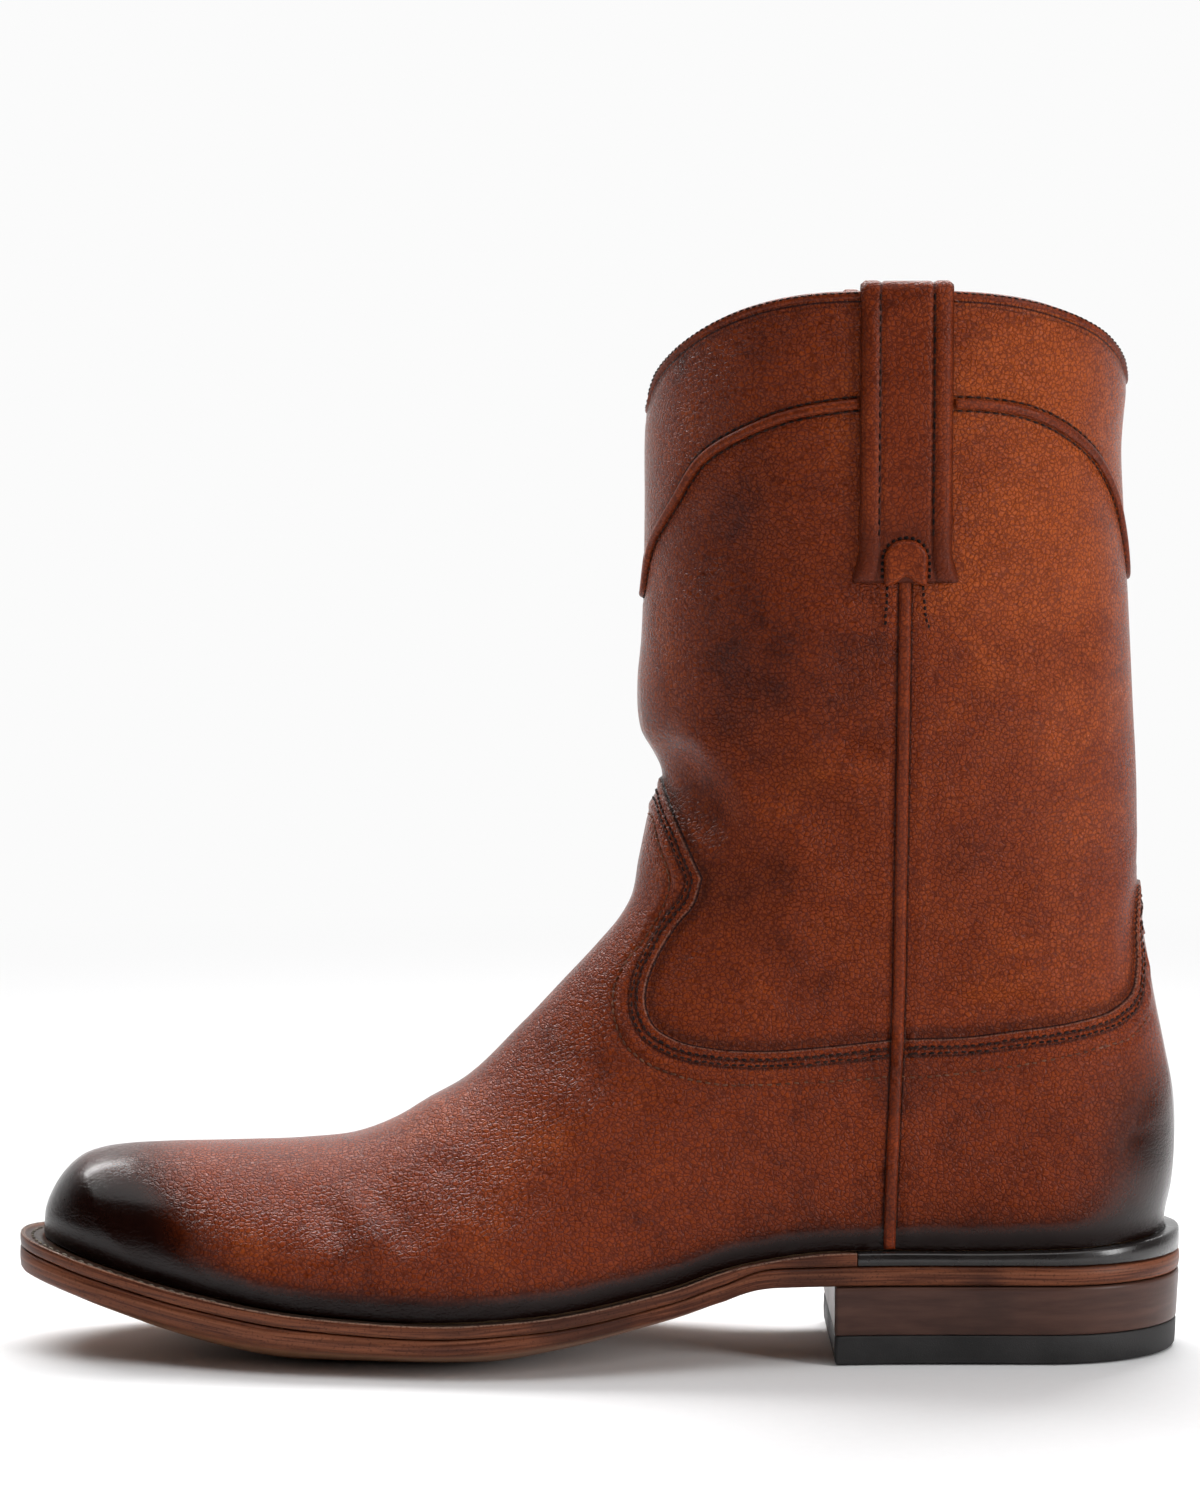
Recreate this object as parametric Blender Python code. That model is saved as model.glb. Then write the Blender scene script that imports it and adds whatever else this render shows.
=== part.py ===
"""Left roper boot: a leather upper on a welted leather sole with a low stacked heel.

Lengths are in metres. The toe points along -X, the outer side of the foot faces -Y, +Z is up.
The origin is the middle of the heel's tread, on the floor.
"""
import math

import bmesh
import bpy
import numpy as np

# Main sizes of the boot
SOLE_LENGTH = 0.3084
HEEL_BACK = 0.0470
BALL_HALF_WIDTH = 0.0486
HEEL_HALF_WIDTH = 0.0300
SEAT_HEIGHT = 0.0300
THROAT_HEIGHT = 0.1504
COLLAR_HEIGHT = 0.2780
SHAFT_HALF_WIDTH = 0.0505
SIDE_FULLNESS = 0.0012
FULLNESS_HEIGHT = 0.0280

# Leather thicknesses and the clearance between pieces that touch
WALL = 0.0024
VAMP_STEP = 0.0011
GAP = 0.0003
FEATHER_REACH = 0.0020

# Sole and heel
WELT_THICKNESS = 0.0032
WELT_SHOW = 0.0063
SOLE_EDGE = 0.0090
CROWN = 0.0072
FLAT_SHARE = 0.38
JOINT_BACK = 0.0870
SEAT_LEATHER = 0.0050
SEAT_BLEND = 0.0160
SEAT_BLEND_FRONT = 0.0300
INSOLE_RISE = 0.0024
INSOLE_BEVEL = 0.0014
LIFT_HEIGHT = 0.0077
HEEL_BLOCK = 0.0205
HEEL_LENGTH = 0.0918
HEEL_TAPER = 0.0011
BREAST_CLEAR = 0.0005

# Overlays on the upper
BEAD_WIDTH = 0.0032
BEAD_RISE = 0.0015
BEAD_CLEAR = 0.0004
SEAM_CLEAR = 0.0003
BEAD_END_CLEAR = 0.0006
BEAD_FOOT_CLEAR = 0.0010
EDGE_CLEAR = 0.0004
SIDE_SEAM_BACK = 0.0765
STRAP_WIDTH = 0.0235
STRAP_THICKNESS = 0.0022
STRAP_DROP = 0.0732
STRAP_INSIDE = 0.0550
STRAP_CLEAR = 0.0007

# Mesh counts
SIDE_POINTS = 24
PATH_POINTS = 160
COUNTER_LINES = 5
SHAFT_LINES = 8
COUNTER_ROUNDS = 6
SHAFT_ROUNDS = 200

# Shortest step of a path between two heights, and the step over which a slope is read
PATH_STEP = 0.0002
SLOPE_STEP = 0.0005

TOE_TIP = HEEL_BACK - SOLE_LENGTH

# Toe, vamp and instep along the middle: share of the sole's length, share of the throat's height
FOOT_RIDGE = (
    (0.0224, 0.214),
    (0.0237, 0.240),
    (0.0298, 0.273),
    (0.0409, 0.307),
    (0.0554, 0.332),
    (0.0723, 0.344),
    (0.0921, 0.350),
    (0.118, 0.353),
    (0.184, 0.356),
    (0.249, 0.361),
    (0.292, 0.372),
    (0.325, 0.398),
    (0.354, 0.434),
    (0.381, 0.465),
    (0.432, 0.563),
    (0.467, 0.639),
    (0.501, 0.714),
    (0.517, 0.753),
    (0.527, 0.788),
    (0.534, 0.858),
    (0.541, 0.929),
    (0.548, 1.000),
)

# Front of the shaft: share of the sole's length, share of the way from throat to collar
SHAFT_FRONT = (
    (0.542, 0.049),
    (0.534, 0.126),
    (0.533, 0.203),
    (0.536, 0.285),
    (0.538, 0.409),
    (0.539, 0.574),
    (0.539, 0.700),
    (0.540, 0.758),
    (0.542, 1.100),
)

# Back of the counter: share of the sole's length, share of the throat's height
COUNTER_BACK = (
    (0.9873, 0.19),
    (0.9880, 0.235),
    (0.9935, 0.290),
    (0.9958, 0.365),
    (0.9945, 0.439),
    (0.9850, 0.542),
    (0.9776, 0.614),
    (0.9715, 0.686),
    (0.9670, 0.740),
    (0.9652, 0.812),
    (0.9620, 0.891),
    (0.9605, 1.000),
)

# Back of the shaft: share of the sole's length, share of the way from throat to collar
SHAFT_BACK = (
    (0.9555, 0.206),
    (0.9500, 0.432),
    (0.9465, 0.577),
    (0.9446, 0.680),
    (0.9490, 0.823),
    (0.9520, 1.100),
)

# Along the foot: share of the sole's length, outer and inner half-width at the feather line as shares
# of the ball's, width of the rounding at the ridge and height over which the foot's width gives way
# to the leg's, both as shares of the throat's height
FOOT_WIDTHS = (
    (0.020, 0.430, 0.430, 0.175, 0.60),
    (0.068, 0.525, 0.525, 0.185, 0.60),
    (0.113, 0.585, 0.605, 0.200, 0.60),
    (0.162, 0.706, 0.720, 0.225, 0.60),
    (0.211, 0.815, 0.802, 0.250, 0.58),
    (0.292, 0.926, 0.864, 0.300, 0.56),
    (0.383, 1.000, 0.840, 0.355, 0.54),
    (0.454, 0.975, 0.762, 0.390, 0.52),
    (0.535, 0.854, 0.640, 0.400, 0.46),
    (0.616, 0.722, 0.550, 0.400, 0.38),
    (0.681, 0.650, 0.528, 0.400, 0.30),
    (0.746, 0.616, 0.548, 0.400, 0.22),
    (0.811, 0.612, 0.580, 0.400, 0.16),
    (0.892, 0.617, 0.612, 0.400, 0.13),
    (1.000, 0.617, 0.617, 0.400, 0.13),
)

# Up the leg: share of the collar's height, half-width as a share of the collar's and width of the
# rounding at the back as a share of the throat's height
LEG_WIDTHS = (
    (0.110, 0.600, 0.220),
    (0.160, 0.630, 0.225),
    (0.215, 0.640, 0.235),
    (0.290, 0.622, 0.255),
    (0.360, 0.630, 0.280),
    (0.430, 0.672, 0.320),
    (0.540, 0.790, 0.375),
    (0.650, 0.880, 0.395),
    (0.755, 0.945, 0.400),
    (0.865, 0.985, 0.400),
    (1.000, 1.000, 0.400),
)

# Edge of the sole: share of the sole's length, height of the welt's top as a share of the seat's,
# thickness as a share of the toe's, drop to the middle of the tread as a share of the crown and
# how far the welt shows as a share of the toe's
SOLE_TABLE = (
    (0.000, 1.010, 1.060, 0.18, 1.00),
    (0.036, 0.943, 1.030, 0.32, 1.00),
    (0.075, 0.845, 1.000, 0.50, 0.97),
    (0.126, 0.710, 0.970, 0.72, 0.93),
    (0.175, 0.617, 0.960, 0.90, 0.90),
    (0.221, 0.545, 0.930, 1.00, 0.87),
    (0.290, 0.485, 0.870, 1.00, 0.82),
    (0.380, 0.467, 0.830, 1.00, 0.79),
    (0.420, 0.490, 0.790, 1.00, 0.76),
    (0.456, 0.520, 0.745, 0.90, 0.73),
    (0.495, 0.575, 0.730, 0.78, 0.70),
    (0.530, 0.645, 0.735, 0.66, 0.68),
    (0.568, 0.735, 0.775, 0.52, 0.65),
    (0.604, 0.850, 0.830, 0.38, 0.62),
    (0.642, 0.925, 0.850, 0.20, 0.60),
    (0.690, 0.978, 0.940, 0.02, 0.58),
    (0.715, 0.983, 0.955, 0.00, 0.56),
    (0.840, 0.982, 0.955, 0.00, 0.56),
    (0.930, 1.010, 0.955, 0.00, 0.58),
    (1.000, 1.070, 0.955, 0.00, 0.62),
)

# Sections over the foot: share of the ridge from toe to ankle, share of the feather line from toe
# to heel, share of the sag
SECTIONS = (
    (0, 0, 0),
    (0.022, 0.002, 0),
    (0.048, 0.009, 0),
    (0.076, 0.022, 0),
    (0.111, 0.039, 0),
    (0.149, 0.059, 0),
    (0.199, 0.083, 0),
    (0.266, 0.116, 0),
    (0.335, 0.157, 0),
    (0.411, 0.204, 0),
    (0.487, 0.254, 0),
    (0.557, 0.308, 0),
    (0.62, 0.365, 0),
    (0.684, 0.43, 0),
    (0.744, 0.497, 0),
    (0.801, 0.567, 0.03),
    (0.851, 0.64, 0.09),
    (0.896, 0.712, 0.2),
    (0.93, 0.78, 0.33),
    (0.956, 0.842, 0.48),
    (0.975, 0.895, 0.63),
    (0.987, 0.938, 0.76),
    (0.995, 0.968, 0.88),
    (0.998, 0.988, 0.95),
    (0.9995, 0.997, 0.99),
    (1, 1, 1),
)
ANKLE_SHARE = 0.600
ANKLE_SAG = 0.0080

# Top edge of vamp and counter, from throat to back: share of the sole's length, share of the
# throat's height
VAMP_EDGE = (
    (0.553, 0.940),
    (0.559, 0.870),
    (0.560, 0.800),
    (0.557, 0.740),
    (0.553, 0.695),
    (0.553, 0.655),
    (0.560, 0.615),
    (0.575, 0.585),
    (0.598, 0.562),
    (0.630, 0.551),
    (0.701, 0.553),
    (0.747, 0.562),
    (0.810, 0.568),
    (0.856, 0.578),
    (0.904, 0.592),
    (0.937, 0.612),
    (0.953, 0.645),
    (0.959, 0.700),
    (0.962, 0.760),
)

# Where that edge starts on the front and ends on the back, and where it meets the side seam, as
# shares of the throat's height
VAMP_FRONT_END = 1.000
VAMP_BACK_END = 0.821
VAMP_SEAM_SHARE = 0.566

# Side piping above that edge: share of the way up to the strap, share of the step that it sinks by
PIPING_FALL = (
    (0.000, 0.00),
    (0.025, 0.90),
    (0.080, 0.68),
    (0.230, 0.10),
    (0.400, 0.00),
    (0.600, 0.00),
    (0.800, 0.00),
    (1.000, 0.00),
)

# Scalloped seam of the collar: share of the way from front to back, share of the collar's height
SCALLOP = (
    (0.000, 0.717),
    (0.019, 0.767),
    (0.063, 0.806),
    (0.114, 0.844),
    (0.210, 0.872),
    (0.283, 0.885),
    (0.356, 0.892),
    (0.425, 0.896),
    (0.611, 0.896),
    (0.690, 0.894),
    (0.766, 0.888),
    (0.846, 0.872),
    (0.914, 0.847),
    (0.957, 0.816),
    (0.984, 0.777),
    (1.000, 0.734),
)

# Rim of the collar: share of the way from front to back, share of the collar's height
RIM = (
    (0.000, 0.892),
    (0.019, 0.923),
    (0.057, 0.945),
    (0.131, 0.969),
    (0.205, 0.983),
    (0.279, 0.991),
    (0.354, 0.995),
    (0.424, 0.996),
    (0.611, 0.996),
    (0.691, 0.994),
    (0.768, 0.989),
    (0.848, 0.979),
    (0.932, 0.962),
    (0.981, 0.940),
    (1.000, 0.919),
)


def table_value(table, column, at):
    """Read one column of a table along a smooth line through its rows."""
    rows = np.array(table)
    place = rows[:, 0]
    value = rows[:, column]
    slope = np.gradient(value, place)
    spot = np.clip(at, place[0], place[-1])
    row = np.clip(np.searchsorted(place, spot) - 1, 0, len(place) - 2)
    span = place[row + 1] - place[row]
    t = (spot - place[row]) / span
    start = (2 * t ** 3 - 3 * t ** 2 + 1) * value[row] + (t ** 3 - 2 * t ** 2 + t) * span * slope[row]
    end = (3 * t ** 2 - 2 * t ** 3) * value[row + 1] + (t ** 3 - t ** 2) * span * slope[row + 1]
    return start + end


def smooth_path(points):
    """Run a smooth line through points and give it back as evenly spaced ones."""
    points = np.array(points)
    run = np.concatenate([[0.0], np.cumsum(np.linalg.norm(np.diff(points, axis=0), axis=1))])
    fine = np.linspace(0.0, run[-1], 8 * PATH_POINTS)
    table = np.column_stack([run, points])
    dense = np.column_stack([table_value(table, 1, fine), table_value(table, 2, fine)])
    return along(dense, np.linspace(0.0, 1.0, PATH_POINTS))


def along(path, shares):
    """Points of a path at shares of its length."""
    run = np.concatenate([[0.0], np.cumsum(np.linalg.norm(np.diff(path, axis=0), axis=1))])
    spots = np.asarray(shares) * run[-1]
    return np.column_stack([np.interp(spots, run, column) for column in path.T])


def ease(value):
    """Go from 0 to 1 with soft ends."""
    t = np.clip(value, 0.0, 1.0)
    return t * t * (3.0 - 2.0 * t)


def x_of(share):
    return TOE_TIP + np.asarray(share) * SOLE_LENGTH


def share_of(x):
    return (np.asarray(x) - TOE_TIP) / SOLE_LENGTH


def welt_top(x):
    return table_value(SOLE_TABLE, 1, share_of(x)) * SEAT_HEIGHT


def feather_height(x):
    return welt_top(x) + GAP


def foot_rows(table):
    return [(x_of(share), height * THROAT_HEIGHT) for share, height in table]


def shaft_rows(table):
    leg = COLLAR_HEIGHT - THROAT_HEIGHT
    return [(x_of(share), THROAT_HEIGHT + height * leg) for share, height in table]


FOOT_FRONT_X = x_of(0.0220)
FOOT_BACK_X = x_of(0.9873)
FRONT = smooth_path(
    [(FOOT_FRONT_X, feather_height(FOOT_FRONT_X) - FEATHER_REACH)]
    + foot_rows(FOOT_RIDGE)
    + shaft_rows(SHAFT_FRONT)
)
BACK = smooth_path(foot_rows(COUNTER_BACK) + shaft_rows(SHAFT_BACK))


def distance(path, x, z):
    """Distance in the middle plane from points to a path."""
    start = path[:-1]
    step = np.diff(path, axis=0)
    dx = np.asarray(x)[..., None] - start[:, 0]
    dz = np.asarray(z)[..., None] - start[:, 1]
    t = np.clip((dx * step[:, 0] + dz * step[:, 1]) / (step ** 2).sum(axis=1), 0.0, 1.0)
    return np.hypot(dx - t * step[:, 0], dz - t * step[:, 1]).min(axis=-1)


def round_off(depth, width, power):
    """Share of the full half-width at a depth inside the outline."""
    return (1.0 - (1.0 - np.clip(depth / width, 0.0, 1.0)) ** power) ** (1.0 / power)


def half_width(x, z, side):
    """Half-width of the upper at a place of the middle plane, on side 1 (outer) or 2 (inner)."""
    share = share_of(x)
    height = z - feather_height(x)
    foot = table_value(FOOT_WIDTHS, side, share) * BALL_HALF_WIDTH
    leg = table_value(LEG_WIDTHS, 1, z / COLLAR_HEIGHT) * SHAFT_HALF_WIDTH
    giving = table_value(FOOT_WIDTHS, 4, share) * THROAT_HEIGHT
    wall = foot + (leg - foot) * ease(height / giving)
    wall = wall + SIDE_FULLNESS * np.sin(math.pi * np.clip(height / FULLNESS_HEIGHT, 0.0, 1.0))
    front_width = table_value(FOOT_WIDTHS, 3, share) * THROAT_HEIGHT
    back_width = table_value(LEG_WIDTHS, 2, z / COLLAR_HEIGHT) * THROAT_HEIGHT
    fullness = 2.2 - 0.2 * ease((share - 0.30) / 0.2)
    front = round_off(distance(FRONT, x, z), front_width, fullness)
    back = round_off(distance(BACK, x, z), back_width, 2.0)
    return wall * front * back


def point_at_height(path, z):
    return np.array([np.interp(z, path[:, 1], path[:, 0]), z])


def stretch(path, low, high):
    """The part of a path between two heights."""
    inside = path[(path[:, 1] > low + PATH_STEP) & (path[:, 1] < high - PATH_STEP)]
    return np.vstack([point_at_height(path, low), inside, point_at_height(path, high)])


def spaced(points):
    """A smooth line through points, with its own points closer together at both ends."""
    steps = np.linspace(0.0, math.pi, SIDE_POINTS + 1)
    return along(smooth_path(points), (1.0 - np.cos(steps)) / 2.0)


def foot_lines():
    """Lines over the foot, each from the ridge down to the feather line."""
    start = np.array([FOOT_FRONT_X, float(feather_height(FOOT_FRONT_X))])
    ridge = stretch(FRONT, start[1], ANKLE_SHARE * THROAT_HEIGHT)
    steps = np.linspace(0.0, 1.0, SIDE_POINTS + 1)
    open_steps = 1.0 - np.cos(steps * math.pi / 2.0)
    closed_steps = (1.0 - np.cos(steps * math.pi)) / 2.0
    lines = []
    for ridge_share, feather_share, sag_share in SECTIONS:
        top = along(ridge, [ridge_share])[0]
        x = FOOT_FRONT_X + feather_share * (FOOT_BACK_X - FOOT_FRONT_X)
        bottom = np.array([x, float(feather_height(x))])
        t = open_steps + (closed_steps - open_steps) * sag_share ** 2
        line = top + (bottom - top) * t[:, None]
        line[:, 1] -= ANKLE_SAG * sag_share * 4.0 * t * (1.0 - t)
        lines.append(line)
    return lines


def leg_line(table):
    """A line round the leg from a table of shares of the way from front to back."""
    front = point_at_height(FRONT, table[0][1] * COLLAR_HEIGHT)
    back = point_at_height(BACK, table[-1][1] * COLLAR_HEIGHT)
    rows = [(front[0] + way * (back[0] - front[0]), height * COLLAR_HEIGHT) for way, height in table[1:-1]]
    return spaced([front] + rows + [back])


def vamp_line():
    front = point_at_height(FRONT, VAMP_FRONT_END * THROAT_HEIGHT)
    back = point_at_height(BACK, VAMP_BACK_END * THROAT_HEIGHT)
    return spaced([front] + foot_rows(VAMP_EDGE) + [back])


def lines_between(lower, upper, shares):
    """Lines between two lines, with their ends on the front and back of the leg."""
    front = stretch(FRONT, lower[0, 1], upper[0, 1])
    back = stretch(BACK, lower[-1, 1], upper[-1, 1])
    t = np.linspace(0.0, 1.0, SIDE_POINTS + 1)[:, None]
    lines = []
    for share in shares:
        plain = lower + (upper - lower) * share
        front_shift = along(front, [share])[0] - plain[0]
        back_shift = along(back, [share])[0] - plain[-1]
        lines.append(plain + (1.0 - t) * front_shift + t * back_shift)
    return lines


def relaxed(lines, rounds):
    """Lines with the inner ones evened out, so that they follow the bends of the first and last."""
    grid = np.array(lines)
    for _ in range(rounds):
        inner = grid[2:, 1:-1] + grid[:-2, 1:-1] + grid[1:-1, 2:] + grid[1:-1, :-2]
        grid[1:-1, 1:-1] = inner / 4.0
    return list(grid)


def surface_rows(lines, closed_from):
    """Points of the upper's surface, row by row, from the outer side over the middle to the inner."""
    rows = []
    for number, line in enumerate(lines):
        outer = half_width(line[:, 0], line[:, 1], 1)
        inner = half_width(line[:, 0], line[:, 1], 2)
        outer[0] = 0.0
        inner[0] = 0.0
        if number >= closed_from:
            outer[-1] = 0.0
            inner[-1] = 0.0
        if number == 0:
            outer[:] = 0.0
            inner[:] = 0.0
        outer_side = np.column_stack([line[:, 0], -outer, line[:, 1]])[::-1]
        inner_side = np.column_stack([line[:, 0], inner, line[:, 1]])[1:]
        rows.append(np.vstack([outer_side, inner_side]))
    return np.array(rows)


def row_normals(rows):
    """Outward directions at the points of a grid, with shared ones where its points meet."""
    keys = [tuple(key) for key in np.round(rows.reshape(-1, 3) * 1e7).astype(int)]
    total = {key: np.zeros(3) for key in keys}
    count = rows.shape[1]
    for i in range(rows.shape[0] - 1):
        for c in range(count - 1):
            corners = (i * count + c, (i + 1) * count + c, (i + 1) * count + c + 1, i * count + c + 1)
            a, b, d, e = (rows[corner // count, corner % count] for corner in corners)
            normal = np.cross(d - a, e - b)
            for corner in corners:
                total[keys[corner]] += normal
    normals = np.array([total[key] for key in keys])
    normals /= np.linalg.norm(normals, axis=1)[:, None]
    return normals.reshape(rows.shape)


def make_material(name, color, roughness):
    material = bpy.data.materials.new(name)
    material.use_nodes = True
    shader = material.node_tree.nodes["Principled BSDF"]
    shader.inputs["Base Color"].default_value = (*color, 1.0)
    shader.inputs["Roughness"].default_value = roughness
    material.diffuse_color = (*color, 1.0)
    return material


class Solid:
    """Vertices and faces of one piece; points that coincide are shared."""

    def __init__(self):
        self.vertices = []
        self.faces = []
        self.known = {}

    def vertex(self, point):
        key = tuple(np.round(np.asarray(point, dtype=float) * 1e7).astype(int))
        if key not in self.known:
            self.known[key] = len(self.vertices)
            self.vertices.append(tuple(float(value) for value in point))
        return self.known[key]

    def face(self, points):
        corners = []
        for point in points:
            corner = self.vertex(point)
            if corner not in corners:
                corners.append(corner)
        if len(corners) > 2:
            self.faces.append(corners)

    def grid(self, rows, inward=False):
        for low, high in zip(rows[:-1], rows[1:]):
            for c in range(len(low) - 1):
                corners = [low[c], high[c], high[c + 1], low[c + 1]]
                self.face(corners[::-1] if inward else corners)

    def build(self, name, material):
        mesh = bpy.data.meshes.new(name)
        mesh.from_pydata(self.vertices, [], self.faces)
        mesh.materials.append(material)
        body = bmesh.new()
        body.from_mesh(mesh)
        bmesh.ops.recalc_face_normals(body, faces=body.faces)
        body.to_mesh(mesh)
        body.free()
        piece = bpy.data.objects.new(name, mesh)
        bpy.context.scene.collection.objects.link(piece)
        return piece


def foot_loop(rows, closed_from, offset):
    """The feather line in plan, moved outward; the outer side first, both from toe to heel."""
    outer = rows[:closed_from + 1, 0, :2]
    inner = rows[:closed_from + 1, -1, :2]
    loop = np.vstack([outer, inner[-2:0:-1]])
    ahead = np.roll(loop, -1, axis=0)
    behind = np.roll(loop, 1, axis=0)
    run = ahead - behind
    out = np.column_stack([run[:, 1], -run[:, 0]]) / np.linalg.norm(run, axis=1)[:, None]
    moved = loop + out * np.reshape(offset(loop[:, 0]), (-1, 1))
    last = closed_from + 1
    moved[0, 1] = 0.0
    moved[last - 1, 1] = 0.0
    inner_moved = np.vstack([moved[0], moved[:last - 2:-1]])
    return moved[:last], inner_moved


def seat_share(x):
    """How far the sole has gone over into the flat heel seat."""
    return ease((x - HEEL_BREAST + SEAT_BLEND_FRONT) / SEAT_BLEND)


def sole_edge_bottom(x):
    """Height of the lower edge of the outsole."""
    edge = welt_top(x) - table_value(SOLE_TABLE, 2, share_of(x)) * SOLE_EDGE
    return edge + (HEEL_BLOCK + GAP - edge) * seat_share(x)


def outsole_top(x):
    waist = welt_top(x) - WELT_THICKNESS - GAP
    return waist + (HEEL_BLOCK + GAP + SEAT_LEATHER - waist) * seat_share(x)


def tread(x, reach):
    """Height of the tread at a share of the way from the middle out to the edge."""
    edge = sole_edge_bottom(x)
    drop = table_value(SOLE_TABLE, 3, share_of(x)) * CROWN * (1.0 - seat_share(x))
    middle = np.maximum(edge - drop, 0.0)
    rise = np.clip((reach - FLAT_SHARE) / (1.0 - FLAT_SHARE), 0.0, 1.0) ** 2
    return middle + (edge - middle) * rise


HEEL_BREAST = HEEL_BACK - HEEL_TAPER - HEEL_LENGTH
SPINE_FRONT = TOE_TIP + 0.5 * WELT_SHOW + 0.45 * BALL_HALF_WIDTH
SPINE_BACK = HEEL_BACK - 0.85 * HEEL_HALF_WIDTH
REACHES = (1.0, 0.72, FLAT_SHARE, 0.0)


def plate_rows(loop, height):
    """Rows across a plate under the foot, at a height that depends on place and reach."""
    outer, inner = loop
    rows = []
    for a, b in zip(outer, inner):
        middle = np.array([np.clip((a[0] + b[0]) / 2.0, SPINE_FRONT, SPINE_BACK), 0.0])
        row = []
        for reach in REACHES:
            x, y = middle + (a - middle) * reach
            row.append((x, y, float(height(x, reach))))
        for reach in REACHES[-2::-1]:
            x, y = middle + (b - middle) * reach
            row.append((x, y, float(height(x, reach))))
        rows.append(row)
    return rows


def make_plate(name, loop, top_loop, top, bottom, material):
    """A plate with the outline of a loop."""
    solid = Solid()
    upper_rows = plate_rows(top_loop, top)
    lower_rows = plate_rows(loop, bottom)
    solid.grid(upper_rows)
    solid.grid(lower_rows, inward=True)
    for side in (0, -1):
        low = [row[side] for row in lower_rows]
        high = [row[side] for row in upper_rows]
        solid.grid([low, high], inward=side == -1)
    return solid.build(name, material)


def cut_chain(outer_loop, inner_loop, x_limit, front):
    """The open chain of point pairs of two loops in front of or behind a limit."""
    pairs = [np.concatenate([a, b]) for a, b in zip(outer_loop[0], inner_loop[0])]
    other = [np.concatenate([a, b]) for a, b in zip(outer_loop[1], inner_loop[1])]
    chains = []
    for side in (pairs, other):
        kept = [pair for pair in side if (pair[0] < x_limit) == front]
        for one, two in zip(side[:-1], side[1:]):
            if (one[0] < x_limit) != (two[0] < x_limit):
                t = (x_limit - one[0]) / (two[0] - one[0])
                cut = one + (two - one) * t
                kept = kept + [cut] if front else [cut] + kept
        chains.append(kept)
    if front:
        return chains[0][::-1] + chains[1][1:]
    return chains[0] + chains[1][:-1][::-1]


def make_strip(name, chain, top, bottom, material):
    """A strip along the edge of the sole, such as the welt."""
    solid = Solid()
    rows = []
    for pair in chain:
        outer, inner = pair[:2], pair[2:]
        rows.append([
            (*outer, float(bottom(outer[0]))),
            (*outer, float(top(outer[0]))),
            (*inner, float(top(inner[0]))),
            (*inner, float(bottom(inner[0]))),
            (*outer, float(bottom(outer[0]))),
        ])
    solid.grid(rows)
    solid.face(rows[0][:4])
    solid.face(rows[-1][:4][::-1])
    return solid.build(name, material)


def make_heel_block(name, loop, low, high, material):
    """A D-shaped block under the heel seat, narrower towards the floor."""
    outer = [point for point in loop[0] if point[0] > HEEL_BREAST + BREAST_CLEAR]
    inner = [point for point in loop[1] if point[0] > HEEL_BREAST + BREAST_CLEAR][:-1]
    breast = []
    for side in loop:
        y = np.interp(HEEL_BREAST, side[:, 0], side[:, 1])
        breast.append(np.array([HEEL_BREAST, y]))
    outline = [breast[0]] + outer + inner[::-1] + [breast[1]]
    solid = Solid()
    rings = []
    for z in (low, high):
        inset = HEEL_TAPER * (1.0 - z / HEEL_BLOCK)
        shrink_x = 1.0 - inset / (HEEL_BACK - HEEL_BREAST)
        shrink_y = 1.0 - inset / HEEL_HALF_WIDTH
        ring = [(HEEL_BREAST + (x - HEEL_BREAST) * shrink_x, y * shrink_y, z) for x, y in outline]
        rings.append(ring + ring[:1])
    solid.grid(rings)
    solid.face(rings[0][:-1])
    solid.face(rings[1][:-1][::-1])
    return solid.build(name, material)


def make_upper(rows, normals, step_row, closed_from, material):
    """One hollow solid with the vamp's edge as a step in its wall."""
    drops = {step_row: VAMP_STEP, step_row + 1: 0.65 * VAMP_STEP, step_row + 2: 0.2 * VAMP_STEP}
    outer = []
    for number, row in enumerate(rows):
        if number == step_row:
            outer.append(row)
        outer.append(row - normals[number] * drops.get(number, 0.0))
    inner = rows - normals * WALL
    inner[0, :, 2] = feather_height(inner[0, 0, 0])
    for i in range(closed_from + 1):
        for side in (0, -1):
            inner[i, side, 2] = feather_height(inner[i, side, 0])
    solid = Solid()
    solid.grid(outer)
    solid.grid(inner, inward=True)
    foot = closed_from + 1
    solid.grid([inner[:foot, 0], rows[:foot, 0]])
    solid.grid([rows[:foot, -1], inner[:foot, -1]])
    solid.grid([rows[-1], inner[-1]])
    return solid.build("upper", material)


def make_bead(name, points, normals, closed, material):
    """A raised strip along a line on the upper."""
    solid = Solid()
    across = (-0.5, -0.42, 0.0, 0.42, 0.5, 0.0, -0.5)
    rise = (0.0, 0.7, 1.0, 0.7, 0.0, 0.0, 0.0)
    rows = []
    for number, (point, normal) in enumerate(zip(points, normals)):
        ahead = points[min(number + 1, len(points) - 1)]
        behind = points[max(number - 1, 0)]
        if closed:
            ahead = points[(number + 1) % len(points)]
            behind = points[number - 1]
        side = np.cross(normal, ahead - behind)
        side /= np.linalg.norm(side)
        row = []
        for share, height in zip(across, rise):
            row.append(point + side * share * BEAD_WIDTH + normal * (BEAD_CLEAR + height * BEAD_RISE))
        rows.append(row)
    solid.grid(rows)
    solid.face(rows[0][:-1])
    solid.face(rows[-1][:-1][::-1])
    return solid.build(name, material)


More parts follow.
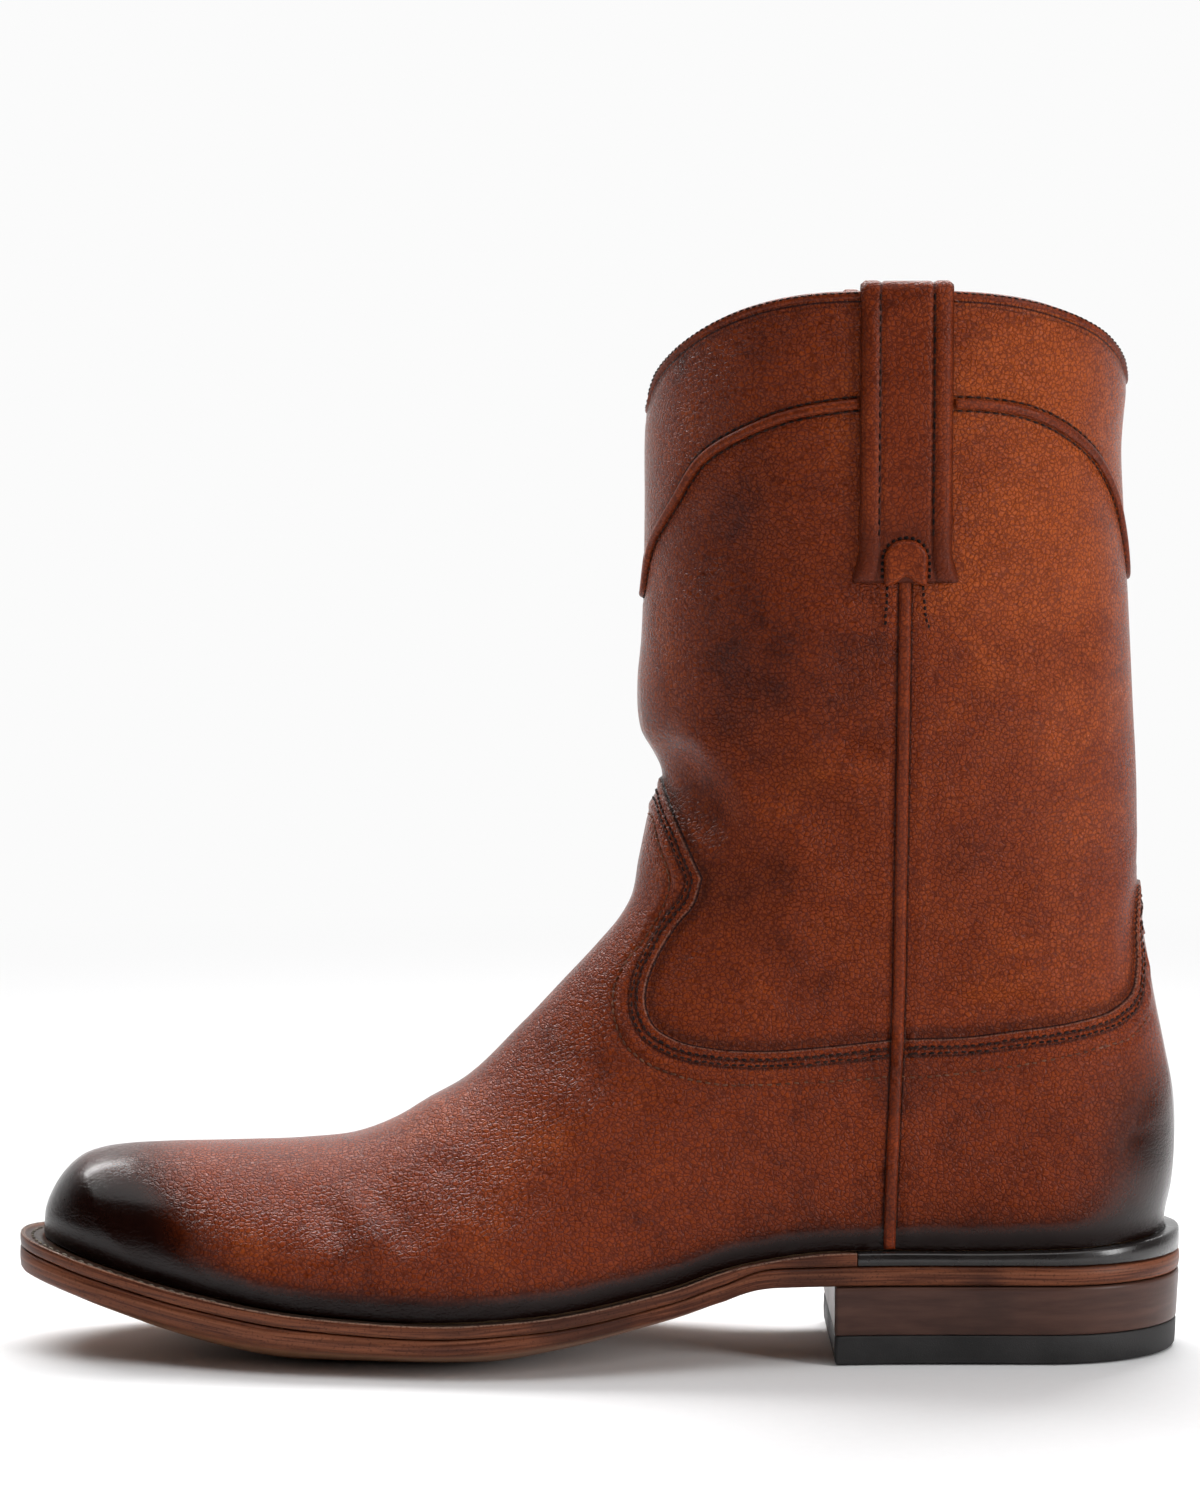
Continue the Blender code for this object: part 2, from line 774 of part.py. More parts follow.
def side_point(x, z, side):
    """A point of the upper's side and its outward direction."""
    sign = -1.0 if side == 1 else 1.0
    places_x = np.array([x, x + SLOPE_STEP, x - SLOPE_STEP, x, x])
    places_z = np.array([z, z, z, z + SLOPE_STEP, z - SLOPE_STEP])
    width = half_width(places_x, places_z, side)
    slope_x = (width[1] - width[2]) / (2.0 * SLOPE_STEP)
    slope_z = (width[3] - width[4]) / (2.0 * SLOPE_STEP)
    normal = np.array([-slope_x, sign, -slope_z])
    return np.array([x, sign * width[0], z]), normal / np.linalg.norm(normal)


def make_side_piping(name, side, material):
    """The strip down the side seam, from the foot of the pull strap to the feather line."""
    x = HEEL_BACK - SIDE_SEAM_BACK
    edge = VAMP_SEAM_SHARE * THROAT_HEIGHT
    top = rim_height(x) - STRAP_DROP - BEAD_END_CLEAR
    under = np.linspace(feather_height(x) + BEAD_FOOT_CLEAR, edge + EDGE_CLEAR, 9)
    ways, falls = np.array(PIPING_FALL).T
    heights = np.concatenate([under, (edge + ways * (top - edge))[1:]])
    fall = np.concatenate([np.zeros(len(under)), falls[1:] * VAMP_STEP])
    points = []
    normals = []
    for z, depth in zip(heights, fall):
        point, normal = side_point(x, z, side)
        points.append(point + normal * (SEAM_CLEAR - depth))
        normals.append(normal)
    return make_bead(name, points, normals, False, material)


def rim_height(x):
    front = point_at_height(FRONT, RIM[0][1] * COLLAR_HEIGHT)
    back = point_at_height(BACK, RIM[-1][1] * COLLAR_HEIGHT)
    way = (x - front[0]) / (back[0] - front[0])
    return float(table_value(RIM, 1, way)) * COLLAR_HEIGHT


def make_strap(name, side, material):
    """The pull strap: up the outside of the shaft, over the rim and down inside."""
    sign = -1.0 if side == 1 else 1.0
    middle = HEEL_BACK - SIDE_SEAM_BACK
    rim = rim_height(middle)
    radius = WALL / 2.0 + BEAD_CLEAR
    skins = ([], [])
    for across in np.linspace(-0.5, 0.5, 5):
        x = middle + across * STRAP_WIDTH
        heights = np.linspace(rim - STRAP_DROP, rim - GAP, 9)
        widths = half_width(np.full(9, x), heights, side)
        path = [(width + BEAD_CLEAR, z) for width, z in zip(widths, heights)]
        centre = widths[-1] - WALL / 2.0
        for angle in np.radians((30.0, 60.0, 90.0, 120.0, 150.0)):
            path.append((centre + radius * math.cos(angle), rim - GAP + radius * math.sin(angle)))
        inside = np.linspace(rim - GAP, rim - STRAP_INSIDE, 6)
        widths = half_width(np.full(6, x), inside, side)
        path += [(width - WALL - STRAP_CLEAR, z) for width, z in zip(widths, inside)]
        path = np.array(path)
        run = np.gradient(path, axis=0)
        out = np.column_stack([run[:, 1], -run[:, 0]]) / np.linalg.norm(run, axis=1)[:, None]
        for skin, lift in zip(skins, (0.0, STRAP_THICKNESS)):
            moved = path + out * lift
            skin.append([(x, sign * y, z) for y, z in moved])
    under, over = skins
    solid = Solid()
    solid.grid(over)
    solid.grid(under, inward=True)
    solid.grid([under[0], over[0]])
    solid.grid([over[-1], under[-1]])
    solid.grid([[row[0] for row in over], [row[0] for row in under]])
    solid.grid([[row[-1] for row in under], [row[-1] for row in over]])
    return solid.build(name, material)


def make_collar_piping(row, row_normals_here, material):
    """The strip along the scalloped seam, in a front and a back run between the pull straps."""
    middle = HEEL_BACK - SIDE_SEAM_BACK
    reach = STRAP_WIDTH / 2.0 + BEAD_END_CLEAR
    loop = row[:-1]
    around = row_normals_here[:-1]
    half = SIDE_POINTS
    sides = {}
    for name, outer_order in (("outer", range(half + 1)), ("inner", range(2 * half, half - 1, -1))):
        picked = [index % (2 * half) for index in outer_order]
        sides[name] = (loop[picked], around[picked])
    limits = {"collar_piping_front": middle - reach, "collar_piping_back": middle + reach}
    runs = {run_name: [] for run_name in limits}
    for name, (points, normals) in sides.items():
        for run_name, limit in limits.items():
            at_front = run_name == "collar_piping_front"
            keep = points[:, 0] < limit if at_front else points[:, 0] > limit
            data = np.hstack([points, normals])
            order = np.argsort(data[:, 0])
            table = data[order]
            cut = np.array([np.interp(limit, table[:, 0], column) for column in table.T])
            chain = data[keep]
            chain = np.vstack([cut, chain]) if at_front else np.vstack([chain, cut])
            chain = chain if at_front else chain[::-1]
            runs[run_name].append(chain)
    pieces = []
    for run_name, (one, two) in runs.items():
        chain = np.vstack([one, two[::-1][1:]])
        pieces.append(make_bead(run_name, chain[:, :3], chain[:, 3:], False, material))
    return pieces


def main():
    for old in list(bpy.data.objects):
        bpy.data.objects.remove(old, do_unlink=True)

    upper_leather = make_material("upper_leather", (0.205, 0.062, 0.020), 0.38)
    strap_leather = make_material("strap_leather", (0.190, 0.056, 0.018), 0.40)
    edge_leather = make_material("edge_leather", (0.150, 0.048, 0.022), 0.45)
    stack_leather = make_material("stack_leather", (0.085, 0.032, 0.018), 0.42)
    rand_black = make_material("rand_black", (0.010, 0.009, 0.009), 0.22)
    lift_rubber = make_material("lift_rubber", (0.012, 0.011, 0.011), 0.62)
    lining_leather = make_material("lining_leather", (0.430, 0.270, 0.150), 0.65)

    lines = foot_lines()
    closed_from = len(lines) - 1
    vamp = vamp_line()
    scallop = leg_line(SCALLOP)
    rim = leg_line(RIM)
    counter = [lines.pop()]
    counter += lines_between(counter[0], vamp, np.linspace(0.0, 1.0, COUNTER_LINES + 2)[1:-1]) + [vamp]
    lines += relaxed(counter, COUNTER_ROUNDS)[:-1]
    step_row = len(lines)
    shaft = [vamp] + lines_between(vamp, scallop, np.linspace(0.0, 1.0, SHAFT_LINES + 2)[1:-1]) + [scallop]
    lines += relaxed(shaft, SHAFT_ROUNDS)
    scallop_row = len(lines) - 1
    lines += lines_between(scallop, rim, (0.35, 0.70))
    lines.append(rim)
    rows = surface_rows(lines, closed_from)
    normals = row_normals(rows)

    def loop_at(offset):
        return foot_loop(rows, closed_from, offset)

    outline = loop_at(lambda x: table_value(SOLE_TABLE, 4, share_of(x)) * WELT_SHOW)
    feather_inside = loop_at(lambda x: np.full_like(x, -WALL - GAP / 2.0))
    insole_foot = loop_at(lambda x: np.full_like(x, -WALL - 1.5 * GAP))
    insole_top = loop_at(lambda x: np.full_like(x, -WALL - GAP - INSOLE_BEVEL))

    make_plate("outsole", outline, outline, lambda x, reach: outsole_top(x), tread, edge_leather)
    joint = HEEL_BACK - JOINT_BACK
    make_strip(
        "welt",
        cut_chain(outline, feather_inside, joint - GAP, True),
        welt_top,
        lambda x: outsole_top(x) + GAP,
        edge_leather,
    )
    make_strip(
        "heel_rand",
        cut_chain(outline, feather_inside, joint, False),
        welt_top,
        lambda x: outsole_top(x) + GAP,
        rand_black,
    )
    make_heel_block("heel_stack", outline, LIFT_HEIGHT + GAP, HEEL_BLOCK, stack_leather)
    make_heel_block("top_lift", outline, 0.0, LIFT_HEIGHT, lift_rubber)
    make_plate(
        "insole",
        insole_foot,
        insole_top,
        lambda x, reach: welt_top(x) + INSOLE_RISE,
        lambda x, reach: outsole_top(x) + GAP,
        lining_leather,
    )
    make_upper(rows, normals, step_row, closed_from, upper_leather)
    make_side_piping("side_piping_outer", 1, upper_leather)
    make_side_piping("side_piping_inner", 2, upper_leather)
    make_collar_piping(rows[scallop_row], normals[scallop_row], upper_leather)
    make_strap("pull_strap_outer", 1, strap_leather)
    make_strap("pull_strap_inner", 2, strap_leather)


main()
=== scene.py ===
"""Looks of the left roper boot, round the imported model.

Lengths are in metres. The toe points along -X, the outer side of the foot faces -Y, +Z is up.
The leather skin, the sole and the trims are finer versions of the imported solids, from the same sizes.
"""

import math
import random

import bmesh
import bpy
import numpy as np
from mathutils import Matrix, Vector
from mathutils.bvhtree import BVHTree
from mathutils.kdtree import KDTree


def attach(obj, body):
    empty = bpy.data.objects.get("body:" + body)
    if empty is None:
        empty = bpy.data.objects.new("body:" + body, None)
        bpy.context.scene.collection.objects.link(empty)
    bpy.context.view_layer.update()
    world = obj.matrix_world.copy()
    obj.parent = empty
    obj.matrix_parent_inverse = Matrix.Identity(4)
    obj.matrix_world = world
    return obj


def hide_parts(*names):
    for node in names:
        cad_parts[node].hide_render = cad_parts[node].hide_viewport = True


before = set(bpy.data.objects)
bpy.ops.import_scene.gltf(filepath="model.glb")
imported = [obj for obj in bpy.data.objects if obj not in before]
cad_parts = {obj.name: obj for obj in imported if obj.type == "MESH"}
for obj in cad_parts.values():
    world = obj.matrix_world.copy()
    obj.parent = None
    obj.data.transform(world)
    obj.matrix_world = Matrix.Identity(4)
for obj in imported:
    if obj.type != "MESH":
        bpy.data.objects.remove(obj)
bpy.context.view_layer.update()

# Main sizes of the boot
SOLE_LENGTH = 0.3084
HEEL_BACK = 0.0470
BALL_HALF_WIDTH = 0.0486
HEEL_HALF_WIDTH = 0.0300
SEAT_HEIGHT = 0.0300
THROAT_HEIGHT = 0.1504
COLLAR_HEIGHT = 0.2780
SHAFT_HALF_WIDTH = 0.0505
SIDE_FULLNESS = 0.0012
FULLNESS_HEIGHT = 0.0280

# Leather thicknesses and the clearance between pieces that touch
WALL = 0.0024
VAMP_STEP = 0.0011
GAP = 0.0003
FEATHER_REACH = 0.0020

# Sole and heel
WELT_THICKNESS = 0.0032
WELT_SHOW = 0.0063
SOLE_EDGE = 0.0090
CROWN = 0.0072
FLAT_SHARE = 0.38
JOINT_BACK = 0.0870
SEAT_LEATHER = 0.0050
SEAT_BLEND = 0.0160
SEAT_BLEND_FRONT = 0.0300
INSOLE_RISE = 0.0024
INSOLE_BEVEL = 0.0014
LIFT_HEIGHT = 0.0077
HEEL_BLOCK = 0.0205
HEEL_LENGTH = 0.0918
HEEL_TAPER = 0.0011

# Overlays on the upper
BEAD_CLEAR = 0.0004
SIDE_SEAM_BACK = 0.0765
STRAP_WIDTH = 0.0235
STRAP_THICKNESS = 0.0022
STRAP_DROP = 0.0732
STRAP_INSIDE = 0.0550
STRAP_CLEAR = 0.0007

# Mesh counts
SIDE_POINTS = 24
PATH_POINTS = 640
LEG_LINES = 14
LEG_ROUNDS = 120
SMOOTH_FROM = 19
SMOOTH_ROUNDS = 150

TOE_TIP = HEEL_BACK - SOLE_LENGTH

# Toe, vamp and instep along the middle: share of the sole's length, share of the throat's height
FOOT_RIDGE = (
    (0.0224, 0.214),
    (0.0237, 0.240),
    (0.0298, 0.273),
    (0.0409, 0.307),
    (0.0554, 0.332),
    (0.0723, 0.344),
    (0.0921, 0.350),
    (0.118, 0.353),
    (0.184, 0.356),
    (0.249, 0.361),
    (0.292, 0.372),
    (0.325, 0.398),
    (0.354, 0.434),
    (0.381, 0.465),
    (0.432, 0.563),
    (0.467, 0.639),
    (0.501, 0.714),
    (0.517, 0.753),
    (0.527, 0.788),
    (0.534, 0.858),
    (0.541, 0.929),
    (0.548, 1.000),
)

# Front of the shaft: share of the sole's length, share of the way from throat to collar
SHAFT_FRONT = (
    (0.542, 0.049),
    (0.534, 0.126),
    (0.533, 0.203),
    (0.536, 0.285),
    (0.538, 0.409),
    (0.539, 0.574),
    (0.539, 0.700),
    (0.540, 0.758),
    (0.542, 1.100),
)

# Back of the counter: share of the sole's length, share of the throat's height
COUNTER_BACK = (
    (0.9873, 0.19),
    (0.9880, 0.235),
    (0.9935, 0.290),
    (0.9958, 0.365),
    (0.9945, 0.439),
    (0.9850, 0.542),
    (0.9776, 0.614),
    (0.9715, 0.686),
    (0.9670, 0.740),
    (0.9652, 0.812),
    (0.9620, 0.891),
    (0.9605, 1.000),
)

# Back of the shaft: share of the sole's length, share of the way from throat to collar
SHAFT_BACK = (
    (0.9555, 0.206),
    (0.9500, 0.432),
    (0.9465, 0.577),
    (0.9446, 0.680),
    (0.9490, 0.823),
    (0.9520, 1.100),
)

# Along the foot: share of the sole's length, outer and inner half-width at the feather line as shares
# of the ball's, width of the rounding at the ridge and height over which the foot's width gives way
# to the leg's, both as shares of the throat's height
FOOT_WIDTHS = (
    (0.020, 0.430, 0.430, 0.175, 0.60),
    (0.068, 0.525, 0.525, 0.185, 0.60),
    (0.113, 0.585, 0.605, 0.200, 0.60),
    (0.162, 0.706, 0.720, 0.225, 0.60),
    (0.211, 0.815, 0.802, 0.250, 0.58),
    (0.292, 0.926, 0.864, 0.300, 0.56),
    (0.383, 1.000, 0.840, 0.355, 0.54),
    (0.454, 0.975, 0.762, 0.390, 0.52),
    (0.535, 0.854, 0.640, 0.400, 0.46),
    (0.616, 0.722, 0.550, 0.400, 0.38),
    (0.681, 0.650, 0.528, 0.400, 0.30),
    (0.746, 0.616, 0.548, 0.400, 0.22),
    (0.811, 0.612, 0.580, 0.400, 0.16),
    (0.892, 0.617, 0.612, 0.400, 0.13),
    (1.000, 0.617, 0.617, 0.400, 0.13),
)

# Up the leg: share of the collar's height, half-width as a share of the collar's and width of the
# rounding at the back as a share of the throat's height
LEG_WIDTHS = (
    (0.110, 0.600, 0.220),
    (0.160, 0.630, 0.225),
    (0.215, 0.640, 0.235),
    (0.290, 0.622, 0.255),
    (0.360, 0.630, 0.280),
    (0.430, 0.672, 0.320),
    (0.540, 0.790, 0.375),
    (0.650, 0.880, 0.395),
    (0.755, 0.945, 0.400),
    (0.865, 0.985, 0.400),
    (1.000, 1.000, 0.400),
)

# Edge of the sole: share of the sole's length, height of the welt's top as a share of the seat's,
# thickness as a share of the toe's, drop to the middle of the tread as a share of the crown and
# how far the welt shows as a share of the toe's
SOLE_TABLE = (
    (0.000, 1.010, 1.060, 0.18, 1.00),
    (0.036, 0.943, 1.030, 0.32, 1.00),
    (0.075, 0.845, 1.000, 0.50, 0.97),
    (0.126, 0.710, 0.970, 0.72, 0.93),
    (0.175, 0.617, 0.960, 0.90, 0.90),
    (0.221, 0.545, 0.930, 1.00, 0.87),
    (0.290, 0.485, 0.870, 1.00, 0.82),
    (0.380, 0.467, 0.830, 1.00, 0.79),
    (0.420, 0.490, 0.790, 1.00, 0.76),
    (0.456, 0.520, 0.745, 0.90, 0.73),
    (0.495, 0.575, 0.730, 0.78, 0.70),
    (0.530, 0.645, 0.735, 0.66, 0.68),
    (0.568, 0.735, 0.775, 0.52, 0.65),
    (0.604, 0.850, 0.830, 0.38, 0.62),
    (0.642, 0.925, 0.850, 0.20, 0.60),
    (0.690, 0.978, 0.940, 0.02, 0.58),
    (0.715, 0.983, 0.955, 0.00, 0.56),
    (0.840, 0.982, 0.955, 0.00, 0.56),
    (0.930, 1.010, 0.955, 0.00, 0.58),
    (1.000, 1.070, 0.955, 0.00, 0.62),
)

# Sections over the foot: share of the ridge from toe to ankle, share of the feather line from toe
# to heel, share of the sag
SECTIONS = (
    (0, 0, 0),
    (0.022, 0.002, 0),
    (0.048, 0.009, 0),
    (0.076, 0.022, 0),
    (0.111, 0.039, 0),
    (0.149, 0.059, 0),
    (0.199, 0.083, 0),
    (0.266, 0.116, 0),
    (0.335, 0.157, 0),
    (0.411, 0.204, 0),
    (0.487, 0.254, 0),
    (0.557, 0.308, 0),
    (0.62, 0.365, 0),
    (0.684, 0.43, 0),
    (0.744, 0.497, 0),
    (0.801, 0.567, 0.03),
    (0.851, 0.64, 0.09),
    (0.896, 0.712, 0.2),
    (0.93, 0.78, 0.33),
    (0.956, 0.842, 0.48),
    (0.975, 0.895, 0.63),
    (0.987, 0.938, 0.76),
    (0.995, 0.968, 0.88),
    (0.998, 0.988, 0.95),
    (0.9995, 0.997, 0.99),
    (1, 1, 1),
)
ANKLE_SHARE = 0.600
ANKLE_SAG = 0.0080

# Heights at which the top edge of vamp and counter meets front and back, as shares of the throat's
VAMP_FRONT_END = 1.000
VAMP_BACK_END = 0.821

# Scalloped seam of the collar: share of the way from front to back, share of the collar's height
SCALLOP = (
    (0.000, 0.717),
    (0.019, 0.767),
    (0.063, 0.806),
    (0.114, 0.844),
    (0.210, 0.872),
    (0.283, 0.885),
    (0.356, 0.892),
    (0.425, 0.896),
    (0.611, 0.896),
    (0.690, 0.894),
    (0.766, 0.888),
    (0.846, 0.872),
    (0.914, 0.847),
    (0.957, 0.816),
    (0.984, 0.777),
    (1.000, 0.734),
)

# Rim of the collar: share of the way from front to back, share of the collar's height
RIM = (
    (0.000, 0.892),
    (0.019, 0.923),
    (0.057, 0.945),
    (0.131, 0.969),
    (0.205, 0.983),
    (0.279, 0.991),
    (0.354, 0.995),
    (0.424, 0.996),
    (0.611, 0.996),
    (0.691, 0.994),
    (0.768, 0.989),
    (0.848, 0.979),
    (0.932, 0.962),
    (0.981, 0.940),
    (1.000, 0.919),
)

# Finer meshes: how many steps replace one step of the source's grid
FOOT_FINE = 6
LEG_FINE = 9
ACROSS_FINE = 4
LINING_STEP = 3
MIDDLE_CLEAR = 0.0012
EDGE_BANDS = (0.0042, 0.0017)

# True upper edge of the vamp and counter: from the throat to the notch, and from there to the back;
# share of the sole's length, share of the throat's height
EDGE_TO_NOTCH = (
    (0.5635, 0.930),
    (0.5745, 0.882),
    (0.5850, 0.838),
)
EDGE_FROM_NOTCH = (
    (0.5790, 0.795),
    (0.5633, 0.753),
    (0.5480, 0.700),
    (0.5397, 0.657),
    (0.5380, 0.620),
    (0.5446, 0.585),
    (0.5630, 0.561),
    (0.5938, 0.547),
    (0.6250, 0.543),
    (0.7014, 0.553),
    (0.7465, 0.563),
    (0.8099, 0.568),
    (0.8559, 0.580),
    (0.9036, 0.593),
    (0.9366, 0.610),
    (0.9537, 0.635),
    (0.9595, 0.684),
    (0.9600, 0.746),
    (0.9630, 0.800),
)

# Third row of stitches, from the throat to the counter
THIRD_ROW = (
    (0.5445, 0.938),
    (0.5518, 0.879),
    (0.5592, 0.836),
    (0.5584, 0.814),
    (0.5441, 0.747),
    (0.5179, 0.672),
    (0.5120, 0.642),
    (0.5119, 0.605),
    (0.5195, 0.558),
    (0.5378, 0.523),
    (0.5629, 0.503),
    (0.5937, 0.489),
    (0.6245, 0.486),
    (0.6704, 0.490),
    (0.7172, 0.496),
    (0.7464, 0.501),
    (0.7623, 0.500),
    (0.8099, 0.508),
    (0.8718, 0.527),
    (0.9190, 0.546),
    (0.9527, 0.562),
    (0.9700, 0.592),
)

# Folds of the leather: start and end as shares of the sole's length and the throat's height, half
# width and height in metres, below zero for a trough
FOLDS = (
    (0.535, 1.090, 0.612, 0.880, 0.0060, -0.0033),
    (0.560, 1.120, 0.640, 0.930, 0.0050, 0.0015),
    (0.600, 1.060, 0.730, 0.900, 0.0070, -0.0015),
    (0.640, 1.090, 0.740, 0.960, 0.0050, 0.0014),
    (0.680, 1.085, 0.745, 1.050, 0.0028, -0.0016),
    (0.670, 1.050, 0.745, 1.020, 0.0032, 0.0014),
    (0.685, 1.010, 0.745, 0.990, 0.0030, -0.0010),
    (0.600, 0.960, 0.700, 0.880, 0.0050, 0.0012),
    (0.590, 0.900, 0.660, 0.850, 0.0040, -0.0010),
    (0.640, 0.648, 0.735, 0.640, 0.0014, -0.0006),
    (0.630, 0.630, 0.725, 0.622, 0.0014, -0.0006),
    (0.650, 0.612, 0.730, 0.606, 0.0013, -0.0004),
    (0.790, 0.650, 0.900, 0.672, 0.0050, 0.0012),
    (0.780, 0.610, 0.900, 0.622, 0.0030, -0.0008),
    (0.262, 0.300, 0.285, 0.200, 0.0040, -0.0009),
    (0.285, 0.310, 0.315, 0.190, 0.0040, 0.0009),
    (0.310, 0.310, 0.350, 0.200, 0.0040, -0.0009),
    (0.345, 0.330, 0.390, 0.210, 0.0050, 0.0008),
    (0.560, 1.420, 0.700, 1.330, 0.0090, -0.0012),
    (0.800, 1.300, 0.930, 1.240, 0.0120, -0.0012),
    (0.640, 0.800, 0.720, 0.830, 0.0050, 0.0010),
    (0.655, 0.760, 0.735, 0.780, 0.0040, -0.0009),
    (0.560, 0.985, 0.640, 0.800, 0.0040, -0.0010),
    (0.800, 0.840, 0.870, 0.800, 0.0060, -0.0010),
    (0.790, 1.180, 0.900, 1.120, 0.0080, 0.0010),
    (0.600, 1.250, 0.700, 1.150, 0.0080, 0.0010),
    (0.440, 0.500, 0.520, 0.380, 0.0060, 0.0008),
    (0.480, 0.520, 0.560, 0.400, 0.0050, -0.0008),
)

# Patches of tone in the leather, partly its own and partly painted light and shade: middle as shares of the
# sole's length and the collar's height, reach along and up as shares of the same, tone from -1 dark to 1
# light
TONE_AND_LIGHT_PATCHES = (
    (0.880, 0.760, 0.120, 0.300, 0.90),
    (0.900, 0.900, 0.110, 0.100, 0.50),
    (0.700, 0.900, 0.060, 0.060, 0.25),
    (0.610, 0.790, 0.045, 0.130, -0.50),
    (0.640, 0.620, 0.090, 0.070, -0.60),
    (0.720, 0.660, 0.050, 0.050, -0.35),
    (0.560, 0.640, 0.030, 0.120, 0.30),
    (0.700, 0.560, 0.050, 0.022, 0.45),
    (0.655, 0.520, 0.050, 0.030, 0.35),
    (0.620, 0.470, 0.050, 0.040, -0.30),
    (0.835, 0.480, 0.060, 0.040, -0.40),
    (0.860, 0.360, 0.080, 0.040, 0.45),
    (0.600, 0.340, 0.050, 0.030, 0.25),
    (0.700, 0.340, 0.050, 0.030, -0.25),
    (0.880, 0.260, 0.060, 0.030, 0.25),
    (0.800, 0.170, 0.080, 0.050, 0.10),
    (0.400, 0.150, 0.080, 0.050, 0.35),
    (0.300, 0.120, 0.050, 0.035, -0.35),
    (0.480, 0.280, 0.060, 0.050, -0.20),
    (0.450, 0.220, 0.050, 0.030, 0.35),
    (0.220, 0.120, 0.050, 0.040, 0.35),
)


def table_value(table, column, at):
    """Read one column of a table along a smooth line through its rows."""
    rows = np.array(table)
    place = rows[:, 0]
    value = rows[:, column]
    slope = np.gradient(value, place)
    spot = np.clip(at, place[0], place[-1])
    row = np.clip(np.searchsorted(place, spot) - 1, 0, len(place) - 2)
    span = place[row + 1] - place[row]
    t = (spot - place[row]) / span
    start = (2 * t ** 3 - 3 * t ** 2 + 1) * value[row] + (t ** 3 - 2 * t ** 2 + t) * span * slope[row]
    end = (3 * t ** 2 - 2 * t ** 3) * value[row + 1] + (t ** 3 - t ** 2) * span * slope[row + 1]
    return start + end


def lengths_along(path):
    return np.concatenate([[0.0], np.cumsum(np.linalg.norm(np.diff(path, axis=0), axis=1))])


def along(path, shares):
    """Points of a path at shares of its length."""
    run = lengths_along(path)
    spots = np.asarray(shares) * run[-1]
    return np.column_stack([np.interp(spots, run, column) for column in path.T])


def smooth_path(points):
    """Run a smooth line through points and give it back as evenly spaced ones."""
    points = np.array(points)
    run = lengths_along(points)
    fine = np.linspace(0.0, run[-1], 8 * PATH_POINTS)
    table = np.column_stack([run, points])
    dense = np.column_stack([table_value(table, 1, fine), table_value(table, 2, fine)])
    return along(dense, np.linspace(0.0, 1.0, PATH_POINTS))


def ease(value):
    """Go from 0 to 1 with soft ends."""
    t = np.clip(value, 0.0, 1.0)
    return t * t * (3.0 - 2.0 * t)


def hump(value, middle, width):
    """A soft hump of height 1 round a value."""
    return np.exp(-((value - middle) / width) ** 2)


def x_of(share):
    return TOE_TIP + np.asarray(share) * SOLE_LENGTH


def share_of(x):
    return (np.asarray(x) - TOE_TIP) / SOLE_LENGTH


def welt_top(x):
    return table_value(SOLE_TABLE, 1, share_of(x)) * SEAT_HEIGHT


def feather_height(x):
    return welt_top(x) + GAP


def foot_rows(table):
    return [(x_of(share), height * THROAT_HEIGHT) for share, height in table]


def shaft_rows(table):
    leg = COLLAR_HEIGHT - THROAT_HEIGHT
    return [(x_of(share), THROAT_HEIGHT + height * leg) for share, height in table]


FOOT_FRONT_X = x_of(0.0220)
FOOT_BACK_X = x_of(0.9873)
FRONT = smooth_path(
    [(FOOT_FRONT_X, feather_height(FOOT_FRONT_X) - FEATHER_REACH)]
    + foot_rows(FOOT_RIDGE)
    + shaft_rows(SHAFT_FRONT)
)
BACK = smooth_path(foot_rows(COUNTER_BACK) + shaft_rows(SHAFT_BACK))
SEAM_X = HEEL_BACK - SIDE_SEAM_BACK


def nearest_on(path, points):
    """Nearest places of a path to points, in as many dimensions as they have, and how far off."""
    start = path[:-1]
    step = np.diff(path, axis=0)
    square = np.maximum((step ** 2).sum(axis=1), 1e-18)
    spots = np.empty_like(points)
    gaps = np.empty(len(points))
    for low in range(0, len(points), 3000):
        part = points[low:low + 3000]
        t = np.clip(((part @ step.T) - (start * step).sum(axis=1)) / square, 0.0, 1.0)
        gap = np.zeros_like(t)
        for axis in range(points.shape[1]):
            gap += (start[:, axis] + t * step[:, axis] - part[:, axis, None]) ** 2
        best = gap.argmin(axis=1)
        pick = np.arange(len(part))
        spots[low:low + 3000] = start[best] + t[pick, best][:, None] * step[best]
        gaps[low:low + 3000] = np.sqrt(gap[pick, best])
    return spots, gaps


def round_off(depth, width, power):
    """Share of the full half-width at a depth inside the outline."""
    return (1.0 - (1.0 - np.clip(depth / width, 0.0, 1.0)) ** power) ** (1.0 / power)


